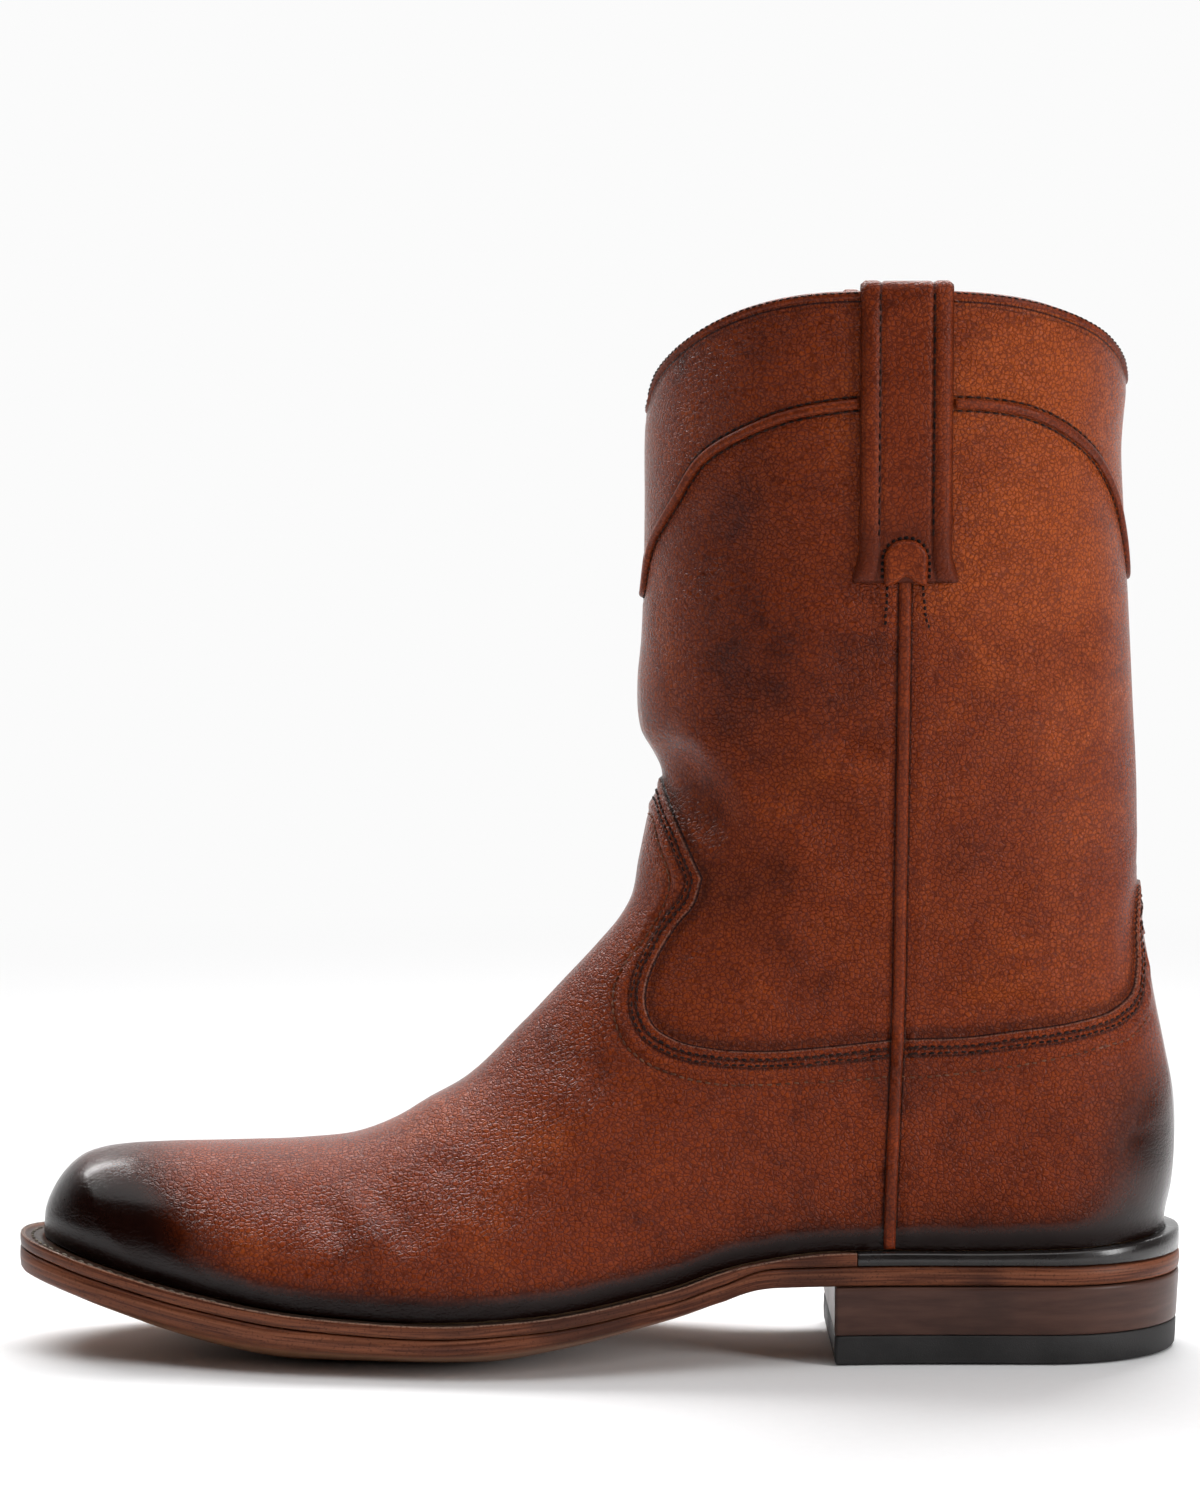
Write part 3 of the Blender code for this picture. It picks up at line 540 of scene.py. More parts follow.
def half_width(x, z):
    """Half-widths of the upper at places of the middle plane: outer side, inner side."""
    share = share_of(x)
    height = z - feather_height(x)
    leg = table_value(LEG_WIDTHS, 1, z / COLLAR_HEIGHT) * SHAFT_HALF_WIDTH
    giving = table_value(FOOT_WIDTHS, 4, share) * THROAT_HEIGHT
    front_width = table_value(FOOT_WIDTHS, 3, share) * THROAT_HEIGHT
    back_width = table_value(LEG_WIDTHS, 2, z / COLLAR_HEIGHT) * THROAT_HEIGHT
    fullness = 2.2 - 0.2 * ease((share - 0.30) / 0.2)
    points = np.column_stack([np.ravel(x), np.ravel(z)])
    front_depth = nearest_on(FRONT, points)[1].reshape(np.shape(x))
    back_depth = nearest_on(BACK, points)[1].reshape(np.shape(x))
    rounding = round_off(front_depth, front_width, fullness) * round_off(back_depth, back_width, 2.0)
    widths = []
    for side in (1, 2):
        foot = table_value(FOOT_WIDTHS, side, share) * BALL_HALF_WIDTH
        wall = foot + (leg - foot) * ease(height / giving)
        wall = wall + SIDE_FULLNESS * np.sin(math.pi * np.clip(height / FULLNESS_HEIGHT, 0.0, 1.0))
        widths.append(wall * rounding)
    return np.array(widths)


def point_at_height(path, z):
    return np.array([np.interp(z, path[:, 1], path[:, 0]), z])


def stretch(path, low, high):
    """The part of a path between two heights."""
    inside = path[(path[:, 1] > low + 0.0002) & (path[:, 1] < high - 0.0002)]
    return np.vstack([point_at_height(path, low), inside, point_at_height(path, high)])


def spaced(points):
    """A smooth line through points, with its own points closer together at both ends."""
    steps = np.linspace(0.0, math.pi, SIDE_POINTS + 1)
    return along(smooth_path(points), (1.0 - np.cos(steps)) / 2.0)


def foot_lines():
    """Lines over the foot, each from the ridge down to the feather line."""
    start = np.array([FOOT_FRONT_X, float(feather_height(FOOT_FRONT_X))])
    ridge = stretch(FRONT, start[1], ANKLE_SHARE * THROAT_HEIGHT)
    steps = np.linspace(0.0, 1.0, SIDE_POINTS + 1)
    open_steps = 1.0 - np.cos(steps * math.pi / 2.0)
    closed_steps = (1.0 - np.cos(steps * math.pi)) / 2.0
    lines = []
    for ridge_share, feather_share, sag_share in SECTIONS:
        top = along(ridge, [ridge_share])[0]
        x = FOOT_FRONT_X + feather_share * (FOOT_BACK_X - FOOT_FRONT_X)
        bottom = np.array([x, float(feather_height(x))])
        t = open_steps + (closed_steps - open_steps) * sag_share ** 2
        line = top + (bottom - top) * t[:, None]
        line[:, 1] -= ANKLE_SAG * sag_share * 4.0 * t * (1.0 - t)
        lines.append(line)
    return lines


def leg_path(table):
    """Places round the leg from a table of shares of the way from front to back."""
    front = point_at_height(FRONT, table[0][1] * COLLAR_HEIGHT)
    back = point_at_height(BACK, table[-1][1] * COLLAR_HEIGHT)
    rows = [(front[0] + way * (back[0] - front[0]), height * COLLAR_HEIGHT) for way, height in table[1:-1]]
    return [front] + rows + [back]


def lines_between(lower, upper, count):
    """Lines between two lines, with their ends on the front and back of the leg."""
    front = stretch(FRONT, lower[0, 1], upper[0, 1])
    back = stretch(BACK, lower[-1, 1], upper[-1, 1])
    t = np.linspace(0.0, 1.0, SIDE_POINTS + 1)[:, None]
    lines = []
    for share in np.linspace(0.0, 1.0, count + 2)[1:-1]:
        plain = lower + (upper - lower) * share
        front_shift = along(front, [share])[0] - plain[0]
        back_shift = along(back, [share])[0] - plain[-1]
        lines.append(plain + (1.0 - t) * front_shift + t * back_shift)
    return lines


def relaxed(lines, rounds):
    """Lines with the inner ones evened out, so that they follow the bends of the first and last."""
    grid = np.array(lines)
    for _ in range(rounds):
        inner = grid[2:, 1:-1] + grid[:-2, 1:-1] + grid[1:-1, 2:] + grid[1:-1, :-2]
        grid[1:-1, 1:-1] = inner / 4.0
    return list(grid)


def finer(grid, per):
    """Replace each step along the first axis by smaller ones on a smooth curve."""
    grid = np.asarray(grid)
    slope = np.gradient(grid, axis=0)
    t = (np.arange(per) / per).reshape(1, -1, 1, 1)
    start = (2 * t ** 3 - 3 * t ** 2 + 1) * grid[:-1, None] + (t ** 3 - 2 * t ** 2 + t) * slope[:-1, None]
    end = (3 * t ** 2 - 2 * t ** 3) * grid[1:, None] + (t ** 3 - t ** 2) * slope[1:, None]
    return np.concatenate([(start + end).reshape(-1, *grid.shape[1:]), grid[-1:]])


def skin_places():
    """A fine grid of places in the middle plane, and the row from which the rows close at the back."""
    foot = foot_lines()
    scallop = spaced(leg_path(SCALLOP))
    rim = spaced(leg_path(RIM))
    leg = relaxed([foot[-1]] + lines_between(foot[-1], scallop, LEG_LINES) + [scallop], LEG_ROUNDS)
    leg += lines_between(scallop, rim, 2) + [rim]
    rows = np.concatenate([finer(foot, FOOT_FINE)[:-1], finer(leg, LEG_FINE)])
    grid = np.swapaxes(finer(np.swapaxes(rows, 0, 1), ACROSS_FINE), 0, 1)
    closed_from = FOOT_FINE * (len(foot) - 1)
    t = np.linspace(0.0, 1.0, grid.shape[1])[None, :, None]
    front_shift = nearest_on(FRONT, grid[:, 0])[0] - grid[:, 0]
    back_shift = nearest_on(BACK, grid[:, -1])[0] - grid[:, -1]
    foot_ends = grid[:closed_from + 1, -1]
    back_shift[:closed_from + 1, 0] = 0.0
    back_shift[:closed_from + 1, 1] = feather_height(foot_ends[:, 0]) - foot_ends[:, 1]
    grid = grid + (1.0 - t) * front_shift[:, None] + t * back_shift[:, None]
    low = FOOT_FINE * SMOOTH_FROM
    grid[low:] = relaxed(grid[low:], SMOOTH_ROUNDS)
    return grid, closed_from


def skin_rows(places, closed_from):
    """Points of the upper's surface, row by row, from the outer side over the middle to the inner."""
    outer, inner = half_width(places[:, :, 0], places[:, :, 1])
    for width in (outer, inner):
        width[:, 0] = 0.0
        width[closed_from:, -1] = 0.0
        width[0] = 0.0
    x, z = places[:, :, 0], places[:, :, 1]
    outer_side = np.stack([x, -outer, z], axis=-1)[:, ::-1]
    inner_side = np.stack([x, inner, z], axis=-1)[:, 1:]
    return np.concatenate([outer_side, inner_side], axis=1)


def grid_ids(rows, columns, closed_from):
    """Vertex numbers of a grid whose first row is a point and whose later rows close."""
    ids = np.arange(rows * columns).reshape(rows, columns)
    ids[closed_from:, -1] = ids[closed_from:, 0]
    ids[0] = ids[0, 0]
    return ids


def grid_faces(ids, inward=False):
    """Quads between the rows of a grid, with triangles where two corners are one."""
    faces = []
    for low, high in zip(ids[:-1].tolist(), ids[1:].tolist()):
        for c in range(len(low) - 1):
            corners = list(dict.fromkeys((low[c], high[c], high[c + 1], low[c + 1])))
            if len(corners) > 2:
                faces.append(corners[::-1] if inward else corners)
    return faces


def tidy_mesh(points, faces):
    """Leave out the points that no face uses."""
    used = sorted({corner for face in faces for corner in face})
    place = {old: new for new, old in enumerate(used)}
    return np.asarray(points)[used], [[place[corner] for corner in face] for face in faces]


def make_piece(name, points, faces, material, replaced=()):
    """A smooth-shaded piece that rides on the boot."""
    mesh = bpy.data.meshes.new(name)
    mesh.from_pydata([tuple(point) for point in points], [], faces)
    mesh.polygons.foreach_set("use_smooth", [True] * len(mesh.polygons))
    mesh.materials.append(material)
    piece = bpy.data.objects.new(name, mesh)
    bpy.context.scene.collection.objects.link(piece)
    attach(piece, "root")
    if replaced:
        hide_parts(*replaced)
    return piece


def face_outward(piece):
    body = bmesh.new()
    body.from_mesh(piece.data)
    bmesh.ops.recalc_face_normals(body, faces=body.faces)
    body.to_mesh(piece.data)
    body.free()


def store(piece, name, values):
    """Keep a number for each vertex, for the material to read."""
    attribute = piece.data.attributes.new(name, "FLOAT", "POINT")
    attribute.data.foreach_set("value", np.asarray(values, dtype=float))


def ring(path):
    """A path of the middle plane laid on both sides of the boot: outer back, front, inner back."""
    outer, inner = half_width(path[:, 0], path[:, 1])
    outer_side = np.column_stack([path[:, 0], -outer, path[:, 1]])[::-1]
    inner_side = np.column_stack([path[:, 0], inner, path[:, 1]])[1:]
    return np.vstack([outer_side, inner_side])


def edge_places():
    """The true edge of vamp and counter, sharp at the notch."""
    front = point_at_height(FRONT, VAMP_FRONT_END * THROAT_HEIGHT)
    back = point_at_height(BACK, VAMP_BACK_END * THROAT_HEIGHT)
    upper = smooth_path([front] + foot_rows(EDGE_TO_NOTCH))
    lower = smooth_path([foot_rows(EDGE_TO_NOTCH)[-1]] + foot_rows(EDGE_FROM_NOTCH) + [back])
    return np.vstack([along(upper, np.linspace(0.0, 1.0, 40))[:-1], along(lower, np.linspace(0.0, 1.0, 220))])


def inside_outline(outline, points):
    """Which points lie inside a closed outline."""
    inside = np.zeros(len(points), dtype=bool)
    for (ax, az), (bx, bz) in zip(outline, np.roll(outline, -1, axis=0)):
        if az == bz:
            continue
        crosses = (az > points[:, 1]) != (bz > points[:, 1])
        inside ^= crosses & (points[:, 0] < ax + (points[:, 1] - az) * (bx - ax) / (bz - az))
    return inside


EDGE = edge_places()
EDGE_RING = ring(EDGE)
FAR_BACK, FAR_UP, FAR_FRONT = HEEL_BACK + 0.1, 0.4, -0.3
ABOVE_EDGE = np.vstack(
    [EDGE, (FAR_BACK, EDGE[-1, 1]), (FAR_BACK, FAR_UP), (FAR_FRONT, FAR_UP), (FAR_FRONT, EDGE[0, 1])]
)


def edge_distance(points):
    """Distance to the vamp's edge, above zero on the shaft's side of it."""
    gap = nearest_on(EDGE_RING, points)[1]
    above = inside_outline(ABOVE_EDGE, points[:, [0, 2]])
    return np.where(above, gap, -gap)


def refine(points, faces):
    """Split the faces close to the vamp's edge, twice, so that its step is crisp."""
    body = bmesh.new()
    for point in points:
        body.verts.new(point)
    body.verts.ensure_lookup_table()
    for face in faces:
        body.faces.new([body.verts[corner] for corner in face])
    for band in EDGE_BANDS:
        places = np.array([vertex.co for vertex in body.verts])
        body.verts.index_update()
        near = np.abs(edge_distance(places)) < band
        edges = [edge for edge in body.edges if near[edge.verts[0].index] or near[edge.verts[1].index]]
        bmesh.ops.subdivide_edges(body, edges=edges, cuts=1, use_grid_fill=True)
    fresh = np.array([vertex.co for vertex in body.verts])
    body.verts.index_update()
    moved = np.arange(len(fresh)) >= len(points)
    off_middle = moved & (np.abs(fresh[:, 1]) > 1e-7)
    widths = half_width(fresh[off_middle, 0], fresh[off_middle, 2])
    side = (fresh[off_middle, 1] > 0.0).astype(int)
    fresh[off_middle, 1] = np.where(side == 0, -1.0, 1.0) * widths[side, np.arange(len(side))]
    for vertex, place in zip(body.verts, fresh):
        vertex.co = place
    bmesh.ops.recalc_face_normals(body, faces=body.faces)
    body.normal_update()
    normals = np.array([vertex.normal for vertex in body.verts])
    quads = [[vertex.index for vertex in face.verts] for face in body.faces]
    body.free()
    return fresh, normals, quads


def fold_relief(points):
    """Height of the listed folds at points of the skin."""
    height = np.zeros(len(points))
    flat = points[:, [0, 2]]
    for x1, z1, x2, z2, width, depth in FOLDS:
        start = np.array([x_of(x1), z1 * THROAT_HEIGHT])
        end = np.array([x_of(x2), z2 * THROAT_HEIGHT])
        run = end - start
        length = np.linalg.norm(run)
        t = (flat - start) @ run / length ** 2
        bow = 0.06 * length * np.sin(math.pi * np.clip(t, 0.0, 1.0))
        across = (flat - start) @ np.array([-run[1], run[0]]) / length - bow
        ends = ease(t / 0.35) * ease((1.0 - t) / 0.35)
        height += depth * ends * np.exp(-(across / width) ** 2)
    return height


def feature_distances(points):
    """Distances in millimetres to the lines of the upper, and heights above the feather line."""
    found = {"edge": edge_distance(points) * 1000.0}
    for name, path in (
        ("third", smooth_path(foot_rows(THIRD_ROW))),
        ("scallop", smooth_path(leg_path(SCALLOP))),
        ("rim", smooth_path(leg_path(RIM))),
    ):
        found[name] = nearest_on(ring(path[::3]), points)[1] * 1000.0
    found["seam"] = (points[:, 0] - seam_x(points[:, 2])) * 1000.0
    found["seam"] = np.where(np.abs(points[:, 1]) > 0.015, found["seam"], 50.0)
    found["foot"] = (points[:, 2] - feather_height(points[:, 0])) * 1000.0
    return found


def seam_x(z):
    """The side seam leans a little towards the toe near the sole."""
    return SEAM_X - SEAM_LEAN * (1.0 - ease((np.asarray(z) - SEAT_HEIGHT) / (0.5 * THROAT_HEIGHT)))


# Lean of the side seam, foot of the pull strap, and the tab of leather below it
SEAM_LEAN = 0.0022
STRAP_FOOT = 0.2037
TAB_HALF = 0.0053
TAB_DROP = 0.0150


def shaft_drop(edge):
    """How far the shaft lies under the vamp's surface, by millimetres from the edge."""
    return VAMP_STEP * ease((edge + 0.12) / 0.40) * (1.0 - ease(edge / 14.0))


def relief(points, found):
    """Height of the skin over the plain form at each point."""
    edge = found["edge"]
    height = fold_relief(points) - shaft_drop(edge)
    vamp_side = 1.0 - ease((edge + 0.12) / 0.40)
    height -= vamp_side * (0.00025 * np.exp(edge / 0.7) + 0.00028 * hump(edge, -2.4, 0.55))
    height -= vamp_side * 0.00028 * hump(edge, -4.3, 0.55)
    height += vamp_side * 0.00055 * hump(edge, -6.9, 1.5) * ease((found["third"] - 0.5) / 2.0)
    height -= 0.00045 * hump(found["third"], 0.0, 0.75)
    seam = np.abs(found["seam"])
    low = points[:, 2] < STRAP_FOOT
    height -= np.where(low, 0.00060 * hump(seam, 2.0, 0.75) - 0.00030 * hump(seam, 4.6, 1.6), 0.0)
    tab = ease((points[:, 2] - (STRAP_FOOT - TAB_DROP - 0.002)) / 0.006)
    tab *= 1.0 - ease((seam - TAB_HALF * 1000.0 + 0.4) / 0.8)
    height += np.where(low & (seam > 2.4), 0.00045 * tab, 0.0)
    height -= 0.00030 * hump(found["scallop"], 1.9, 0.6)
    height -= 0.00035 * hump(found["rim"], 2.2, 0.50) + 0.00020 * hump(found["rim"], 3.3, 0.5)
    height *= 1.0 - 0.9 * hump(found["foot"], 0.0, 1.2)
    return height


def burnish_and_shade(points, found):
    """How far the dark colour of toe, heel and feather line goes, from 0 to 1: antiqued dye on toe and heel,
    less dark over the toe's top, and along the feather line dye together with painted shade.
    """
    share = share_of(points[:, 0])
    rise = found["foot"] / 1000.0
    level = points[:, 2] / THROAT_HEIGHT
    toe = 1.0 - ease((share - 0.105 + 0.16 * (level - 0.17)) / 0.115)
    toe *= 1.0 - 0.35 * ease((level - 0.26) / 0.08)
    heel = ease((share - 0.865) / 0.115) * (1.0 - ease((level - 0.36) / 0.30))
    # Near black just over the welt: dye and painted shade where the upper meets the sole
    foot = 0.95 * (1.0 - ease((rise - 0.0015) / 0.0085))
    # A softer darkening towards the sole, at the forefoot and round the heel
    haze = 0.32 * (1.0 - ease(rise / 0.030)) * (1.0 - ease((share - 0.80) / 0.1))
    heel_haze = 0.55 * ease((share - 0.72) / 0.2) * (1.0 - ease(rise / 0.022))
    clear = 1.0
    for part in (toe, 0.80 * heel, foot, haze, heel_haze):
        clear = clear * (1.0 - part)
    return 1.0 - clear


# Tone from the patches: partly the leather's own, partly painted light and shade
def tone_and_painted_light(points):
    tone = np.zeros(len(points))
    for x, z, reach_x, reach_z, strength in TONE_AND_LIGHT_PATCHES:
        off = ((share_of(points[:, 0]) - x) / reach_x) ** 2
        off += ((points[:, 2] / COLLAR_HEIGHT - z) / reach_z) ** 2
        tone += strength * np.exp(-off)
    return tone


class Skin:
    """The finished outer surface, to lay stitches and trims on."""

    def __init__(self, piece):
        mesh = piece.data
        self.points = np.array([vertex.co for vertex in mesh.vertices])
        self.normals = np.array([normal.vector for normal in mesh.vertex_normals])
        self.tree = KDTree(len(self.points))
        for number, point in enumerate(self.points):
            self.tree.insert(point, number)
        self.tree.balance()
        self.surface = BVHTree.FromPolygons(
            [tuple(point) for point in self.points], [tuple(face.vertices) for face in mesh.polygons]
        )

    def at(self, points):
        """Nearest points of the surface and the outward directions there."""
        places = []
        directions = []
        for point in points:
            places.append(tuple(self.surface.find_nearest(Vector(point))[0]))
            near = [number for _, number, _ in self.tree.find_n(Vector(point), 8)]
            direction = self.normals[near].mean(axis=0)
            directions.append(direction / np.linalg.norm(direction))
        return np.array(places), np.array(directions)


def tangents(points):
    run = np.gradient(points, axis=0)
    return run / np.maximum(np.linalg.norm(run, axis=1), 1e-12)[:, None]


def even(points, step):
    """The same line with points a step apart."""
    count = max(2, int(round(lengths_along(points)[-1] / step)) + 1)
    return along(points, np.linspace(0.0, 1.0, count))


def beside(skin, points, offset):
    """A line on the skin at an offset to the side of another, upward for a line that runs aft to fore."""
    places, directions = skin.at(points)
    across = np.cross(directions, tangents(points))
    across /= np.linalg.norm(across, axis=1)[:, None]
    moved = places + across * offset
    gaps = nearest_on(points, moved)[1]
    return moved[(gaps > 0.975 * abs(offset)) & (np.abs(moved[:, 1]) > MIDDLE_CLEAR)]


def sweep(name, points, directions, section, material, replaced=(), closed=False):
    """A strip along a line: its section is rows of side and height."""
    across = np.cross(directions, tangents(points))
    across /= np.linalg.norm(across, axis=1)[:, None]
    rings = [points + across * side + directions * height for side, height in section]
    rows = np.stack(rings + rings[:1], axis=1)
    count = len(section)
    ids = np.arange(len(points) * count).reshape(len(points), count)
    ids = np.column_stack([ids, ids[:, 0]])
    if closed:
        ids = np.vstack([ids, ids[:1]])
    faces = grid_faces(ids)
    if not closed:
        faces.append(ids[0, :-1].tolist())
        faces.append(ids[-1, :-1].tolist()[::-1])
    piece = make_piece(name, rows[:, :-1].reshape(-1, 3), faces, material, replaced)
    face_outward(piece)
    return piece


# Beads of the seams: width, rise and how far they are let into the leather
SIDE_BEAD = (0.0031, 0.00125, 0.0008)
COLLAR_BEAD = (0.0025, 0.00110, 0.0008)


def bead_section(width, rise, sink):
    """Half-round section of a bead that is let into the leather."""
    steps = np.linspace(0.0, math.pi, 9)
    section = [(-0.5 * width * math.cos(a), rise * math.sin(a) ** 0.8) for a in steps]
    return section + [(0.42 * width, -sink), (-0.42 * width, -sink)]


# Pitch, length and radius of the stitches of each seam
STITCH_SIZES = {
    "vamp": (0.0021, 0.00150, 0.00030),
    "third": (0.0023, 0.00165, 0.00027),
    "collar": (0.0024, 0.00165, 0.00026),
    "rim": (0.0020, 0.00140, 0.00024),
    "strap": (0.0027, 0.0019, 0.00028),
    "arch": (0.0017, 0.00125, 0.00042),
    "tail": (0.0017, 0.00125, 0.00036),
    "welt": (0.0030, 0.0021, 0.00042),
}
STITCH_LIFT = 0.0001

# Form of a stitch: share of its length and of its radius for each round, and points in a round
STITCH_RINGS = ((-0.50, 0.25), (-0.34, 0.85), (0.0, 1.0), (0.34, 0.85), (0.50, 0.25))
STITCH_SIDES = 6


def stitches(name, seam, skin, runs, material):
    """Rows of stitches as one joined mesh."""
    pitch, length, radius = STITCH_SIZES[seam]
    points = []
    faces = []
    draw = random.Random(7)
    for run in runs:
        row = even(run, pitch)
        middles = (row[:-1] + row[1:]) / 2.0
        places, directions = skin.at(middles)
        for place, out, ahead in zip(places, directions, tangents(middles)):
            side = np.cross(out, ahead)
            side /= np.linalg.norm(side)
            ahead = np.cross(side, out) + side * draw.uniform(-0.12, 0.12)
            size = draw.uniform(0.9, 1.08)
            first = len(points)
            for t, girth in STITCH_RINGS:
                for step in range(STITCH_SIDES):
                    angle = 2.0 * math.pi * step / STITCH_SIDES
                    spread = side * math.cos(angle) + out * 0.8 * math.sin(angle)
                    dip = -0.9 * radius * (2.0 * t) ** 4
                    point = place + ahead * t * length * size + spread * girth * radius
                    points.append(point + out * (STITCH_LIFT + dip))
            ids = first + np.arange(len(STITCH_RINGS) * STITCH_SIDES).reshape(-1, STITCH_SIDES)
            faces += grid_faces(np.column_stack([ids, ids[:, 0]]))
            faces.append(ids[0].tolist()[::-1])
            faces.append(ids[-1].tolist())
    piece = make_piece(name, points, faces, material)
    face_outward(piece)
    return piece


def make_skin(material):
    """The outer leather, with the step at the vamp's edge, folds and grooves."""
    places, closed_from = skin_places()
    rows = skin_rows(places, closed_from)
    ids = grid_ids(*rows.shape[:2], closed_from)
    plain, faces = tidy_mesh(rows.reshape(-1, 3), grid_faces(ids))
    points, normals, quads = refine(plain, faces)
    found = feature_distances(points)
    height = relief(points, found)
    piece = make_piece(
        "upper_skin", points + normals * height[:, None], quads, material, ("upper",)
    )
    for name in ("edge", "third", "scallop", "rim", "seam", "foot"):
        store(piece, name, np.clip(found[name], -40.0, 40.0))
    store(piece, "burn_and_shade", burnish_and_shade(points, found))
    store(piece, "tone", tone_and_painted_light(points))
    return piece, rows, closed_from


def make_lining(rows, closed_from, material):
    """The inside of the shaft and foot, a wall's thickness in from the skin."""
    coarse = rows[::LINING_STEP, ::LINING_STEP]
    closed = closed_from // LINING_STEP
    ids = grid_ids(*coarse.shape[:2], closed)
    points, faces = tidy_mesh(coarse.reshape(-1, 3), grid_faces(ids))
    body = bpy.data.meshes.new("lining_form")
    body.from_pydata([tuple(point) for point in points], [], faces)
    normals = np.array([normal.vector for normal in body.vertex_normals])
    if (normals * (points - points.mean(axis=0))).sum() < 0.0:
        normals = -normals
    bpy.data.meshes.remove(body)
    dip = np.minimum(fold_relief(points), 0.0) - shaft_drop(edge_distance(points) * 1000.0)
    inside = points + normals * (dip - WALL)[:, None]
    turned = [face[::-1] for face in faces]
    return make_piece("upper_lining", inside, turned, material, ("upper",))


def make_rim(rows, material):
    """The rolled edge of the collar."""
    loop = rows[-1, :-1]
    loop = even(np.vstack([loop, loop[:1]]), 0.0012)[:-1]
    centre = loop.mean(axis=0)
    run = np.roll(loop, -1, axis=0) - np.roll(loop, 1, axis=0)
    out = np.cross(run, (0.0, 0.0, 1.0))
    out[:, 2] = 0.0
    out /= np.linalg.norm(out, axis=1)[:, None]
    if (out * (loop - centre)).sum() < 0.0:
        out = -out
    section = []
    for angle in np.linspace(0.0, 2.0 * math.pi, 15)[:-1]:
        section.append((0.00145 * math.cos(angle), 0.00125 * math.sin(angle)))
    middle = loop - out * 0.5 * WALL + np.array([0.0, 0.0, -0.0007])
    points = []
    for side, height in section:
        points.append(middle + out * side + np.array([0.0, 0.0, height]))
    rows_here = np.stack(points, axis=1)
    count = len(section)
    ids = np.arange(len(loop) * count).reshape(len(loop), count)
    ids = np.column_stack([ids, ids[:, 0]])
    ids = np.vstack([ids, ids[:1]])
    flat = rows_here.reshape(-1, 3)
    piece = make_piece("collar_rim", flat, grid_faces(ids), material, ("upper",))
    face_outward(piece)
    return piece


def seam_line(side, low, high):
    z = np.arange(low, high, 0.0008)
    x = seam_x(z)
    widths = half_width(x, z)[side - 1]
    return np.column_stack([x, widths * (-1.0 if side == 1 else 1.0), z])


def make_side_bead(name, skin, side, node, material):
    foot = float(feather_height(SEAM_X)) + 0.0004
    line = seam_line(side, foot, STRAP_FOOT + 0.003)
    places, directions = skin.at(line)
    wave = 0.00006 * np.sin(line[:, 2] * 2600.0) + 0.00005 * np.sin(line[:, 2] * 5900.0 + 1.3)
    places = places + directions * wave[:, None]
    section = bead_section(*SIDE_BEAD)
    return sweep(name, places, directions, section, material, (node,))


def collar_run(path, at_front):
    """The part of a ring round the collar that lies in front of or behind the pull straps."""
    reach = 0.5 * STRAP_WIDTH + 0.0002
    if at_front:
        return path[path[:, 0] < SEAM_X - reach]
    keep = path[:, 0] > SEAM_X + reach
    half = len(path) // 2
    outer = path[:half][keep[:half]]
    inner = path[half:][keep[half:]]
    return np.vstack([inner, outer])


def make_collar_beads(skin, material):
    loop = ring(smooth_path(leg_path(SCALLOP)))
    for name, at_front in (("collar_bead_front", True), ("collar_bead_back", False)):
        line = even(collar_run(loop, at_front), 0.0010)
        places, directions = skin.at(line)
        node = "collar_piping_front" if at_front else "collar_piping_back"
        section = bead_section(*COLLAR_BEAD)
        sweep(name, places, directions, section, material, (node,))


def strap_profile(across, rolled):
    """Height of the pull strap over its lower face, across its width from -1 to 1."""
    off = np.abs(across)
    roll = rolled * 0.00075 * np.sin(math.pi * np.clip((off - 0.55) / 0.45, 0.0, 1.0)) ** 0.7
    groove = -0.00040 * hump(off, 0.565, 0.045)
    edge = 1.0 - 0.55 * ease((off - 0.90) / 0.10)
    return (STRAP_THICKNESS - 0.0006 + roll + groove) * edge


# Points of the pull strap's mesh, its flare at the foot and where its rolled edge ends at the rim
STRAP_ACROSS = 41
STRAP_UP = 90
STRAP_OVER = 20
STRAP_DOWN = 40
STRAP_FLARE = 0.0017
ROLL_END = 0.0070


def rim_height(x):
    front = point_at_height(FRONT, RIM[0][1] * COLLAR_HEIGHT)
    back = point_at_height(BACK, RIM[-1][1] * COLLAR_HEIGHT)
    return float(table_value(RIM, 1, (x - front[0]) / (back[0] - front[0]))) * COLLAR_HEIGHT


